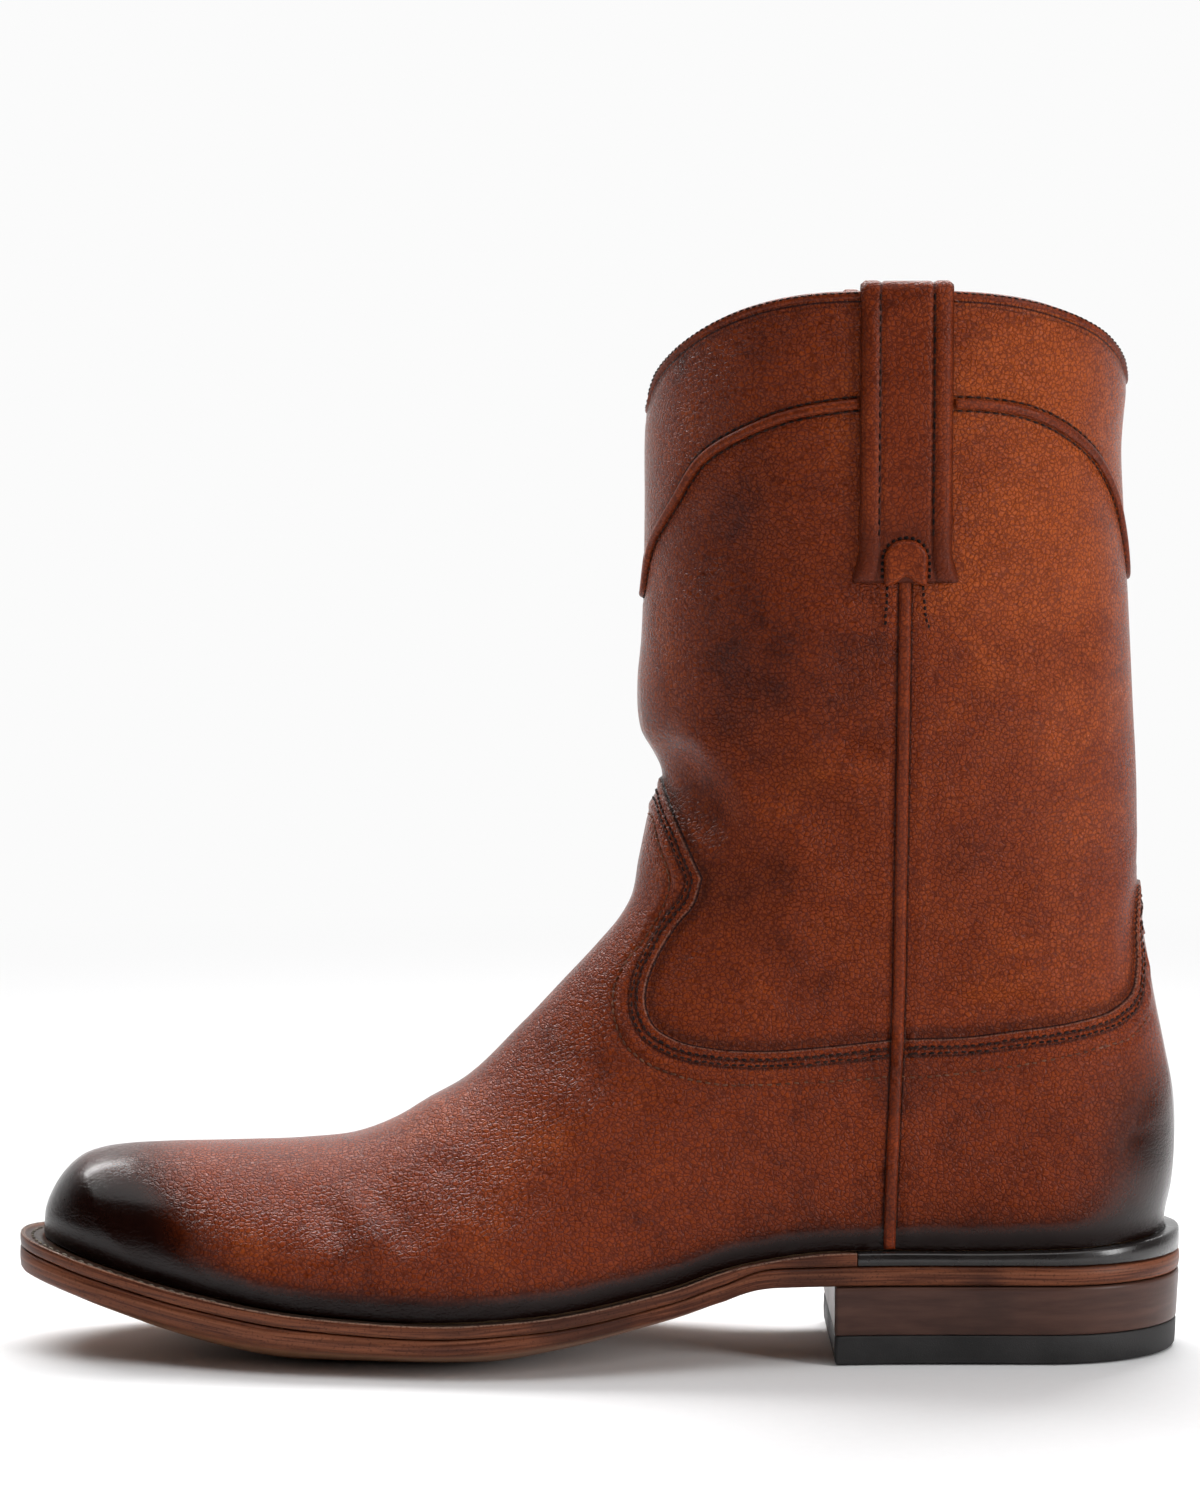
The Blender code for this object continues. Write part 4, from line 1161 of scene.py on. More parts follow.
def make_strap(name, side, node, material):
    """The pull strap: up the outside, over the rim and down inside, with rolled edges."""
    sign = -1.0 if side == 1 else 1.0
    rim = rim_height(SEAM_X)
    radius = 0.5 * WALL + BEAD_CLEAR
    over = []
    under = []
    for across in np.linspace(-1.0, 1.0, STRAP_ACROSS):
        up = np.linspace(rim - STRAP_DROP, rim - GAP, STRAP_UP)
        flare = STRAP_FLARE * (1.0 - ease((up - up[0]) / 0.0095)) ** 1.5
        x_up = SEAM_X + across * (0.5 * STRAP_WIDTH + flare)
        widths = half_width(x_up, up)[side - 1]
        path = [(width + BEAD_CLEAR, z) for width, z in zip(widths, up)]
        centre = widths[-1] - 0.5 * WALL
        for angle in np.linspace(0.0, math.pi, STRAP_OVER + 2)[1:-1]:
            path.append((centre + radius * math.cos(angle), rim - GAP + radius * math.sin(angle)))
        down = np.linspace(rim - GAP, rim - STRAP_INSIDE, STRAP_DOWN)
        x_down = np.full(STRAP_DOWN, SEAM_X + across * 0.5 * STRAP_WIDTH)
        widths = half_width(x_down, down)[side - 1]
        path += [(width - WALL - STRAP_CLEAR, z) for width, z in zip(widths, down)]
        path = np.array(path)
        x = np.concatenate([x_up, np.full(STRAP_OVER, x_down[0]), x_down])
        run = np.gradient(path, axis=0)
        out = np.column_stack([run[:, 1], -run[:, 0]]) / np.linalg.norm(run, axis=1)[:, None]
        rolled = 1.0 - 0.85 * ease((up - (rim - ROLL_END)) / ROLL_END)
        thick = strap_profile(across, np.concatenate([rolled, np.full(STRAP_OVER + STRAP_DOWN, 0.15)]))
        thick[:4] *= (0.55, 0.80, 0.94, 1.0)
        top = path + out * thick[:, None]
        over.append(np.column_stack([x, sign * top[:, 0], top[:, 1]]))
        under.append(np.column_stack([x, sign * path[:, 0], path[:, 1]]))
    rows = np.concatenate([np.array(over), np.array(under)[::-1]])
    count = rows.shape[1]
    ids = np.arange(rows.shape[0] * count).reshape(-1, count)
    ids = np.vstack([ids, ids[:1]])
    faces = grid_faces(ids)
    for end in (0, -1):
        column = ids[:-1, end].tolist()
        half = len(column) // 2
        for a in range(half - 1):
            faces.append([column[a], column[a + 1], column[-2 - a], column[-1 - a]])
    piece = make_piece(name, rows.reshape(-1, 3), faces, material, (node,))
    face_outward(piece)
    across = np.linspace(-1.0, 1.0, STRAP_ACROSS)
    across = np.repeat(np.concatenate([across, across[::-1]]), count)
    store(piece, "across", across * 0.5 * STRAP_WIDTH * 1000.0)
    store(piece, "up", (rows.reshape(-1, 3)[:, 2] - (rim - STRAP_DROP)) * 1000.0)
    return piece


# Patch over the strap's foot: half width, height in the middle and at the sides
PATCH_HALF = 0.0056
PATCH_RISE = 0.0110
PATCH_SIDE = 0.0046

# Stitched tails below the strap: across and up from the middle of its foot
TAILS = (
    ((-0.0044, -0.0006), (-0.0045, -0.0060), (-0.0053, -0.0112)),
    ((0.0048, -0.0006), (0.0050, -0.0070), (0.0071, -0.0120)),
)


def make_patch(name, side, material):
    """The domed patch at the foot of the strap, arched over the side piping."""
    sign = -1.0 if side == 1 else 1.0
    across = np.linspace(-1.0, 1.0, 33)
    share = np.linspace(0.0, 1.0, 21)
    s, t = np.meshgrid(across, share)
    x = SEAM_X + s * PATCH_HALF * (1.0 - 0.03 * (1.0 - t))
    low = STRAP_FOOT - 0.0006 + 0.0024 * hump(s, 0.0, 0.42)
    arch = np.sqrt(np.clip(1.0 - (0.97 * np.abs(s)) ** 2.6, 0.0, 1.0))
    high = STRAP_FOOT + PATCH_SIDE + (PATCH_RISE - PATCH_SIDE) * arch
    z = low + t * (high - low)
    widths = half_width(x, z)[side - 1]
    brim = np.minimum((1.0 - np.abs(s)) / 0.22, np.minimum(t / 0.10, (1.0 - t) / 0.16))
    dome = 0.0008 + 0.0012 * np.sin(0.5 * math.pi * np.clip(brim, 0.0, 1.0)) ** 0.8
    y = sign * (widths + BEAD_CLEAR + STRAP_THICKNESS - 0.0011 + dome)
    points = np.stack([x, y, z], axis=-1)
    ids = np.arange(points.size // 3).reshape(points.shape[:2])
    count = ids.size
    back = points + np.array([0.0, -sign * 0.0012, 0.0])
    faces = grid_faces(ids) + grid_faces(ids + count, inward=True)
    border = ids[0].tolist() + ids[1:, -1].tolist() + ids[-1, -2::-1].tolist() + ids[-2:0:-1, 0].tolist()
    for a, b in zip(border, border[1:] + border[:1]):
        faces.append([a, b, b + count, a + count])
    all_points = np.concatenate([points.reshape(-1, 3), back.reshape(-1, 3)])
    piece = make_piece(name, all_points, faces, material)
    face_outward(piece)
    return piece


def foot_loop(rows, closed_from, offset):
    """The feather line in plan, moved outward; the outer side first, both from toe to heel."""
    outer = rows[:closed_from + 1, 0, :2]
    inner = rows[:closed_from + 1, -1, :2]
    outer = along(outer, np.linspace(0.0, 1.0, LOOP_POINTS))
    inner = along(inner, np.linspace(0.0, 1.0, LOOP_POINTS))
    loop = np.vstack([outer, inner[-2:0:-1]])
    run = np.roll(loop, -2, axis=0) - np.roll(loop, 2, axis=0)
    out = np.column_stack([run[:, 1], -run[:, 0]]) / np.linalg.norm(run, axis=1)[:, None]
    moved = loop + out * np.reshape(offset(loop[:, 0]), (-1, 1))
    moved[0, 1] = 0.0
    moved[LOOP_POINTS - 1, 1] = 0.0
    return moved[:LOOP_POINTS], np.vstack([moved[0], moved[:LOOP_POINTS - 2:-1]])


LOOP_POINTS = 300
HEEL_BREAST = HEEL_BACK - HEEL_TAPER - HEEL_LENGTH
SPINE_FRONT = TOE_TIP + 0.5 * WELT_SHOW + 0.45 * BALL_HALF_WIDTH
SPINE_BACK = HEEL_BACK - 0.85 * HEEL_HALF_WIDTH


def seat_share(x):
    """How far the sole has gone over into the flat heel seat."""
    return ease((x - HEEL_BREAST + SEAT_BLEND_FRONT) / SEAT_BLEND)


def sole_edge_bottom(x):
    edge = welt_top(x) - table_value(SOLE_TABLE, 2, share_of(x)) * SOLE_EDGE
    return edge + (HEEL_BLOCK + GAP - edge) * seat_share(x)


def outsole_top(x):
    waist = welt_top(x) - WELT_THICKNESS - GAP
    return waist + (HEEL_BLOCK + GAP + SEAT_LEATHER - waist) * seat_share(x)


def tread(x, reach):
    """Height of the tread at a share of the way from the middle out to the edge."""
    edge = sole_edge_bottom(x)
    drop = table_value(SOLE_TABLE, 3, share_of(x)) * CROWN * (1.0 - seat_share(x))
    middle = np.maximum(edge - drop, 0.0)
    rise = np.clip((reach - FLAT_SHARE) / (1.0 - FLAT_SHARE), 0.0, 1.0) ** 2
    return middle + (edge - middle) * rise


def spread(loop, reach, inset):
    """Both sides of a loop drawn in towards the middle of the foot: a row from toe to heel each."""
    sides = []
    middle_x = np.clip((loop[0][:, 0] + loop[1][:, 0]) / 2.0, SPINE_FRONT, SPINE_BACK)
    middle = np.column_stack([middle_x, np.zeros(len(middle_x))])
    for side in loop:
        way = side - middle
        length = np.linalg.norm(way, axis=1)[:, None]
        sides.append(middle + way * reach - way / length * inset)
    return sides


def make_plate(name, loop, levels, material, node):
    """A plate from rounds of reach, inset and a height that depends on place and reach."""
    columns = []
    for reach, inset, height in levels:
        outer, inner = spread(loop, reach, inset)
        columns.append((
            np.column_stack([outer, height(outer[:, 0], reach)]),
            np.column_stack([inner, height(inner[:, 0], reach)]),
        ))
    rows = [pair[0] for pair in columns] + [pair[1] for pair in columns[::-1]]
    grid = np.stack(rows, axis=1)
    ids = np.arange(grid.shape[0] * grid.shape[1]).reshape(grid.shape[:2])
    ids = np.column_stack([ids, ids[:, 0]])
    piece = make_piece(name, grid.reshape(-1, 3), grid_faces(ids), material, (node,))
    weld(piece)
    return piece


def weld(piece):
    """Join the points that meet, and turn the faces outward."""
    body = bmesh.new()
    body.from_mesh(piece.data)
    bmesh.ops.remove_doubles(body, verts=body.verts, dist=1e-6)
    bmesh.ops.recalc_face_normals(body, faces=body.faces)
    body.to_mesh(piece.data)
    body.free()


def store_sole_places(piece):
    """Keep the height over the sole's lower edge and the depth under the welt's top."""
    points = np.array([vertex.co for vertex in piece.data.vertices])
    store(piece, "rise", (points[:, 2] - sole_edge_bottom(points[:, 0])) * 1000.0)
    store(piece, "top", (welt_top(points[:, 0]) - points[:, 2]) * 1000.0)


def make_outsole(outline, material):
    levels = [
        (0.05, 0.0, lambda x, reach: outsole_top(x)),
        (0.60, 0.0, lambda x, reach: outsole_top(x)),
        (1.00, 0.0009, lambda x, reach: outsole_top(x)),
        (1.00, 0.0003, lambda x, reach: outsole_top(x) - 0.0002),
        (1.00, 0.0, lambda x, reach: outsole_top(x) - 0.0006),
        (1.00, -0.0001, lambda x, reach: 0.5 * outsole_top(x) + 0.5 * sole_edge_bottom(x)),
        (1.00, 0.0001, lambda x, reach: sole_edge_bottom(x) + 0.0008),
        (1.00, 0.0005, lambda x, reach: sole_edge_bottom(x) + 0.0002),
        (1.00, 0.0012, lambda x, reach: tread(x, 0.98)),
    ]
    for reach in (0.93, 0.86, 0.78, 0.70, 0.62, 0.54, 0.46, FLAT_SHARE, 0.20, 0.05):
        levels.append((reach, 0.0, tread))
    piece = make_plate("sole_leather", outline, levels, material, "outsole")
    store_sole_places(piece)
    return piece


def cut_loop(outline, inside, x_limit, front):
    """Pairs of points of two loops on one side of a limit, in one run over both sides."""
    chains = []
    for outer, inner in zip(outline, inside):
        pairs = np.column_stack([outer, inner])
        keep = pairs[:, 0] < x_limit if front else pairs[:, 0] > x_limit
        crossing = int(np.argmax(pairs[:, 0] > x_limit))
        one, two = pairs[crossing - 1], pairs[crossing]
        cut = one + (two - one) * (x_limit - one[0]) / (two[0] - one[0])
        chains.append(np.vstack([pairs[keep], cut]) if front else np.vstack([cut, pairs[keep]]))
    if front:
        return np.vstack([chains[0][::-1], chains[1][1:]])
    return np.vstack([chains[0], chains[1][:-1][::-1]])


def make_strip(name, chain, section, material, node):
    """A strip along the edge of the sole; its section is inset, share of the thickness and lift."""
    outer, inner = chain[:, :2], chain[:, 2:]
    way = inner - outer
    width = np.linalg.norm(way, axis=1)[:, None]
    columns = []
    for inset, level, lift in section:
        place = inner if inset is None else outer + way / width * inset
        top = welt_top(place[:, 0])
        bottom = outsole_top(place[:, 0]) + GAP
        columns.append(np.column_stack([place, bottom + level * (top - bottom) + lift]))
    grid = np.stack(columns, axis=1)
    count = len(section)
    ids = np.arange(len(chain) * count).reshape(-1, count)
    ids = np.column_stack([ids, ids[:, 0]])
    faces = grid_faces(ids) + [ids[0, :-1].tolist(), ids[-1, :-1].tolist()[::-1]]
    piece = make_piece(name, grid.reshape(-1, 3), faces, material, (node,))
    face_outward(piece)
    store_sole_places(piece)
    return piece


# Sections of welt and rand: inset or the inner line, share of the thickness, lift
WELT_SECTION = (
    (0.0006, 0.0, 0.0),
    (0.0001, 0.0, 0.0002),
    (0.0, 0.35, 0.0),
    (0.0, 0.75, 0.0),
    (0.0001, 1.0, -0.0003),
    (0.0003, 1.0, 0.0),
    (0.0007, 1.0, 0.0001),
    (0.0011, 1.0, -0.0001),
    (0.0015, 1.0, -0.0005),
    (0.0028, 1.0, -0.0006),
    (0.0045, 1.0, -0.0003),
    (None, 1.0, -0.0003),
    (None, 0.0, 0.0),
)
RAND_SECTION = (
    (0.0006, 0.0, 0.0),
    (0.0001, 0.0, 0.0002),
    (0.0, 0.4, 0.0),
    (0.0001, 1.0, -0.0006),
    (0.0004, 1.0, -0.0002),
    (0.0009, 1.0, 0.0),
    (0.0030, 1.0, 0.0),
    (None, 1.0, 0.0),
    (None, 0.0, 0.0),
)


def heel_outline(outline):
    outer = outline[0][outline[0][:, 0] > HEEL_BREAST + 0.0003]
    inner = outline[1][outline[1][:, 0] > HEEL_BREAST + 0.0003][:-1]
    ends = []
    for side in outline:
        ends.append((HEEL_BREAST, np.interp(HEEL_BREAST, side[:, 0], side[:, 1])))
    breast = np.linspace(ends[1], ends[0], 14)[1:-1]
    return np.vstack([ends[0], outer, inner[::-1], ends[1], breast])


def make_heel_block(name, outline, levels, material, node):
    """A D-shaped block under the heel seat, narrower towards the floor; levels are height and inset."""
    around = heel_outline(outline)
    rings = []
    for z, inset in levels:
        shrink = HEEL_TAPER * (1.0 - z / HEEL_BLOCK) + inset
        share = 1.0 - (shrink + inset) / (HEEL_BACK - HEEL_BREAST)
        x = HEEL_BREAST + inset + (around[:, 0] - HEEL_BREAST) * share
        y = around[:, 1] * (1.0 - shrink / HEEL_HALF_WIDTH)
        rings.append(np.column_stack([x, y, np.full(len(x), z)]))
    points = np.concatenate(rings)
    ids = np.arange(len(points)).reshape(len(rings), -1)
    faces = grid_faces(np.column_stack([ids, ids[:, 0]])) + [ids[0].tolist(), ids[-1].tolist()[::-1]]
    piece = make_piece(name, points, faces, material, (node,))
    face_outward(piece)
    for face in piece.data.polygons:
        face.use_smooth = len(face.vertices) == 4 and abs(face.normal.z) < 0.7
    store(piece, "rise", points[:, 2] * 1000.0)
    return piece


def make_sole(rows, closed_from, skins):
    """Outsole, welt, rand, heel and insole from the feather line of the skin."""

    def loop_at(offset):
        return foot_loop(rows, closed_from, offset)

    outline = loop_at(lambda x: table_value(SOLE_TABLE, 4, share_of(x)) * WELT_SHOW)
    inside = loop_at(lambda x: np.full_like(x, -0.0006))
    make_outsole(outline, skins["edge"])
    joint = HEEL_BACK - JOINT_BACK
    chain = cut_loop(outline, inside, joint - GAP, True)
    welt = make_strip("welt_strip", chain, WELT_SECTION, skins["edge"], "welt")
    row = loop_at(lambda x: 0.50 * table_value(SOLE_TABLE, 4, share_of(x)) * WELT_SHOW)
    rows_on_welt = []
    for half in row:
        half = half[half[:, 0] < joint - 0.002]
        rows_on_welt.append(np.column_stack([half, welt_top(half[:, 0])]))
    pale = thread_look("welt_thread", (0.060, 0.048, 0.034), (0.240, 0.205, 0.160))
    stitches("welt_stitches", "welt", Skin(welt), rows_on_welt, pale)
    chain = cut_loop(outline, inside, joint, False)
    make_strip("rand_strip", chain, RAND_SECTION, skins["rand"], "heel_rand")
    top = HEEL_BLOCK
    stack = (
        (LIFT_HEIGHT + 0.0001, 0.0005),
        (LIFT_HEIGHT + 0.0003, 0.0001),
        (LIFT_HEIGHT + 0.0009, 0.0),
        (0.5 * (LIFT_HEIGHT + top), 0.0),
        (top - 0.0009, 0.0),
        (top - 0.0002, 0.0001),
        (top, 0.0005),
    )
    make_heel_block("heel_block", outline, stack, skins["stack"], "heel_stack")
    lift = (
        (0.0, 0.0012),
        (0.0003, 0.0004),
        (0.0010, 0.0),
        (0.5 * LIFT_HEIGHT, -0.0001),
        (LIFT_HEIGHT - 0.0006, 0.0),
        (LIFT_HEIGHT, 0.0002),
    )
    make_heel_block("heel_lift", outline, lift, skins["rubber"], "top_lift")
    floor = loop_at(lambda x: np.full_like(x, -WALL - 1.5 * GAP))
    levels = [
        (0.05, 0.0, lambda x, reach: welt_top(x) + INSOLE_RISE),
        (0.50, 0.0, lambda x, reach: welt_top(x) + INSOLE_RISE),
        (0.90, 0.0, lambda x, reach: welt_top(x) + INSOLE_RISE),
        (1.00, INSOLE_BEVEL, lambda x, reach: welt_top(x) + INSOLE_RISE),
        (1.00, 0.0003, lambda x, reach: welt_top(x) + 0.0006),
        (1.00, 0.0, lambda x, reach: outsole_top(x) + GAP),
        (0.05, 0.0, lambda x, reach: outsole_top(x) + GAP),
    ]
    make_plate("insole_board", floor, levels, skins["lining"], "insole")


class Look:
    """A material, with short calls that add nodes to it."""

    def __init__(self, name):
        self.material = bpy.data.materials.new(name)
        self.material.use_nodes = True
        self.tree = self.material.node_tree
        self.shader = self.tree.nodes["Principled BSDF"]
        self.place = self.tree.nodes.new("ShaderNodeTexCoord").outputs["Object"]

    def feed(self, socket, value):
        if isinstance(value, bpy.types.NodeSocket):
            self.tree.links.new(value, socket)
        elif socket.type == "RGBA":
            socket.default_value = (*value, 1.0)
        else:
            socket.default_value = value

    def node(self, kind, inputs, **settings):
        node = self.tree.nodes.new(kind)
        for key, value in settings.items():
            setattr(node, key, value)
        for key, value in inputs.items():
            self.feed(node.inputs[key], value)
        return node

    def noise(self, scale, detail=3.0, roughness=0.5, distortion=0.0, place=None):
        vector = self.place if place is None else place
        inputs = {
            "Vector": vector,
            "Scale": scale,
            "Detail": detail,
            "Roughness": roughness,
            "Distortion": distortion,
        }
        return self.node("ShaderNodeTexNoise", inputs).outputs["Fac"]

    def cells(self, scale, place=None, feature="DISTANCE_TO_EDGE"):
        vector = self.place if place is None else place
        inputs = {"Vector": vector, "Scale": scale}
        return self.node("ShaderNodeTexVoronoi", inputs, feature=feature).outputs["Distance"]

    def sums(self, operation, one, two=0.0):
        return self.node("ShaderNodeMath", {0: one, 1: two}, operation=operation).outputs[0]

    def times(self, one, two):
        return self.sums("MULTIPLY", one, two)

    def plus(self, one, two):
        return self.sums("ADD", one, two)

    def span(self, value, low, high, to_low=0.0, to_high=1.0):
        inputs = {"Value": value, "From Min": low, "From Max": high, "To Min": to_low, "To Max": to_high}
        return self.node("ShaderNodeMapRange", inputs, interpolation_type="SMOOTHSTEP").outputs["Result"]

    def near(self, value, middle, width):
        """1 at a value, falling to 0 at a width either side of it."""
        off = self.sums("ABSOLUTE", self.plus(value, -middle))
        return self.span(off, 0.0, width, 1.0, 0.0)

    def kept(self, name):
        return self.node("ShaderNodeAttribute", {}, attribute_name=name).outputs["Fac"]

    def mixed(self, one, two, share, blend="MIX"):
        node = self.node("ShaderNodeMix", {0: share, 6: one, 7: two}, data_type="RGBA", blend_type=blend)
        return node.outputs[2]

    def stretched(self, along_x, along_y, along_z, turn=0.0):
        inputs = {"Vector": self.place, "Scale": (along_x, along_y, along_z), "Rotation": (0.0, turn, 0.0)}
        return self.node("ShaderNodeMapping", inputs).outputs["Vector"]

    def warped(self, scale, amount):
        """The place, pushed about by noise so that cells lose their straight sides."""
        inputs = {"Vector": self.place, "Scale": scale, "Detail": 2.0}
        colour = self.node("ShaderNodeTexNoise", inputs).outputs["Color"]
        push = self.vectors("SUBTRACT", {0: colour, 1: (0.5, 0.5, 0.5)})
        push = self.vectors("SCALE", {0: push, "Scale": amount})
        return self.vectors("ADD", {0: self.place, 1: push})

    def vectors(self, operation, inputs):
        return self.node("ShaderNodeVectorMath", inputs, operation=operation).outputs[0]

    def bumps(self, height, distance, strength=1.0, under=None):
        inputs = {"Height": height, "Distance": distance, "Strength": strength}
        if under is not None:
            inputs["Normal"] = under
        return self.node("ShaderNodeBump", inputs).outputs["Normal"]

    def finish(self, color, roughness, normal, coat=0.0, coat_roughness=0.2, specular=0.5):
        self.feed(self.shader.inputs["Base Color"], color)
        self.feed(self.shader.inputs["Roughness"], roughness)
        self.feed(self.shader.inputs["Normal"], normal)
        self.feed(self.shader.inputs["Coat Weight"], coat)
        self.shader.inputs["Coat Roughness"].default_value = coat_roughness
        self.shader.inputs["Specular IOR Level"].default_value = specular
        return self.material


# Tones of the upper's leather; the near-black one also paints shade, and the pale one is a painted highlight
COGNAC = (0.245, 0.036, 0.005)
DEEP = (0.092, 0.012, 0.002)
AMBER = (0.420, 0.078, 0.010)
BURNT_AND_SHADE = (0.0085, 0.0022, 0.0013)
EDGE_HIGHLIGHT = (0.520, 0.360, 0.270)


def leather_base(look, tone):
    """Mottled antiqued leather: colour and pebbled grain."""
    clouds = look.noise(17.0, 5.0, 0.62, 0.4)
    smoke = look.noise(58.0, 6.0, 0.66, 0.9)
    level = look.plus(look.times(look.plus(clouds, -0.5), 1.1), look.times(look.plus(smoke, -0.5), 1.2))
    level = look.plus(level, look.times(tone, 0.55))
    color = look.mixed(COGNAC, DEEP, look.span(level, 0.08, -0.52))
    color = look.mixed(color, AMBER, look.span(level, 0.02, 0.75))
    pebbles = look.cells(820.0, look.warped(500.0, 0.0013))
    grain = look.span(pebbles, 0.0, 0.22)
    fine = look.noise(1500.0, 3.0, 0.6)
    color = look.mixed(color, (0.40, 0.32, 0.30), look.times(look.span(grain, 1.0, 0.0), 0.75), "MULTIPLY")
    color = look.mixed(color, (0.72, 0.66, 0.64), look.span(fine, 0.52, 0.34), "MULTIPLY")
    color = look.mixed(color, (1.22, 1.26, 1.30), look.span(fine, 0.52, 0.68), "MULTIPLY")
    return color, grain, fine, smoke


def upper_look():
    look = Look("antiqued_leather")
    names = ("edge", "third", "scallop", "rim", "seam", "burn_and_shade", "tone", "foot")
    edge, third, scallop, rim, seam, burn_and_shade, tone, foot = (look.kept(name) for name in names)
    # The stored tone is partly the leather's own and partly painted light and shade
    color, grain, fine, smoke = leather_base(look, tone)
    # Dark toe, heel and feather line: antiqued dye, with painted shade along the sole
    burn_and_shade = look.span(look.plus(burn_and_shade, look.times(look.plus(smoke, -0.5), 0.35)), 0.06, 0.92)
    color = look.mixed(color, BURNT_AND_SHADE, burn_and_shade)
    # Painted shade in dark lines: in the step at the vamp's cut edge and on the shaft just above it, in the
    # grooves of the stitch rows, and beside the scallop, the rim and the side beads
    dark = look.times(look.near(edge, 0.16, 0.42), 0.95)
    for line, middle, width, strength in (
        (edge, 1.6, 2.6, 0.45),
        (edge, -2.4, 0.75, 0.75),
        (edge, -4.3, 0.70, 0.70),
        (third, 0.0, 0.70, 0.55),
        (scallop, 1.75, 0.60, 0.70),
        (rim, 2.15, 0.50, 0.90),
        (rim, 3.3, 0.50, 0.40),
        (look.sums("ABSOLUTE", seam), 1.75, 0.60, 0.80),
    ):
        dark = look.sums("MAXIMUM", dark, look.times(look.near(line, middle, width), strength))
    color = look.mixed(color, BURNT_AND_SHADE, dark)
    # A painted highlight along the top of the vamp's cut edge
    lip = look.times(look.near(edge, -0.20, 0.30), look.span(fine, 0.40, 0.52))
    color = look.mixed(color, EDGE_HIGHLIGHT, look.times(lip, 0.18))
    creases = look.noise(330.0, 5.0, 0.62, 1.0, look.stretched(0.75, 1.0, 2.1, 0.55))
    polished = look.span(burn_and_shade, 0.35, 0.95)
    height = look.plus(look.times(grain, 0.55), look.times(fine, 0.15))
    height = look.plus(height, look.times(creases, 1.7))
    height = look.times(height, look.span(polished, 0.0, 1.0, 1.0, 0.16))
    swells = look.noise(30.0, 2.0, 0.5, 0.7)
    normal = look.bumps(height, 0.00050, 0.60, look.bumps(swells, 0.0030, 0.5))
    roughness = look.span(look.plus(look.times(smoke, 0.6), look.times(fine, 0.4)), 0.30, 0.70, 0.19, 0.28)
    coat = look.times(look.span(polished, 0.2, 1.0), look.span(foot, 2.0, 6.0, 0.0, 0.30))
    return look.finish(color, roughness, normal, coat, 0.16, 0.17)


def strap_look():
    look = Look("strap_leather")
    across, up = look.kept("across"), look.kept("up")
    color, grain, fine, smoke = leather_base(look, slow_drift(look, -0.2, 0.25))
    off = look.sums("ABSOLUTE", across)
    # Painted shade in the grooves of the stitch rows and a painted shadow line along the strap's lower end;
    # darker at its side edges and towards its foot
    dark = look.times(look.near(off, 6.75, 0.60), 0.70)
    dark = look.sums("MAXIMUM", dark, look.times(look.span(up, 1.2, 0.0), 0.85))
    dark = look.sums("MAXIMUM", dark, look.times(look.span(off, 10.9, 11.8), 0.55))
    dark = look.sums("MAXIMUM", dark, look.times(look.near(up, 10.0, 9.0), 0.25))
    color = look.mixed(color, BURNT_AND_SHADE, dark)
    color = look.mixed(color, DEEP, look.span(up, 22.0, 4.0, 0.15, 0.65))
    wrinkle = look.noise(420.0, 4.0, 0.6, 1.2, look.stretched(1.0, 1.0, 1.6, 0.4))
    height = look.plus(look.plus(look.times(grain, 0.6), look.times(fine, 0.35)), look.times(wrinkle, 0.9))
    roughness = look.span(smoke, 0.30, 0.70, 0.36, 0.50)
    return look.finish(color, roughness, look.bumps(height, 0.00040, 0.40), 0.0, 0.28, 0.19)


def slow_drift(look, low, high):
    """A tone that drifts over a piece between two levels."""
    return look.span(look.noise(30.0, 2.0, 0.5), 0.0, 1.0, low, high)


def trim_look(name, tone, burnt):
    """Leather of beads, patches and the rolled rim."""
    look = Look(name)
    color, grain, fine, smoke = leather_base(look, slow_drift(look, tone - 0.2, tone + 0.2))
    color = look.mixed(color, BURNT_AND_SHADE, look.span(smoke, 0.65, 0.35, 0.0, burnt))
    wrinkle = look.noise(900.0, 4.0, 0.6, 0.8)
    height = look.plus(look.plus(look.times(grain, 0.4), look.times(fine, 0.3)), look.times(wrinkle, 0.8))
    roughness = look.span(smoke, 0.30, 0.70, 0.34, 0.48)
    return look.finish(color, roughness, look.bumps(height, 0.00030, 0.45), 0.0, 0.28, 0.19)


# Height of the streaks' pattern for each millimetre up the sole's edge
STREAK_RISE = 0.035


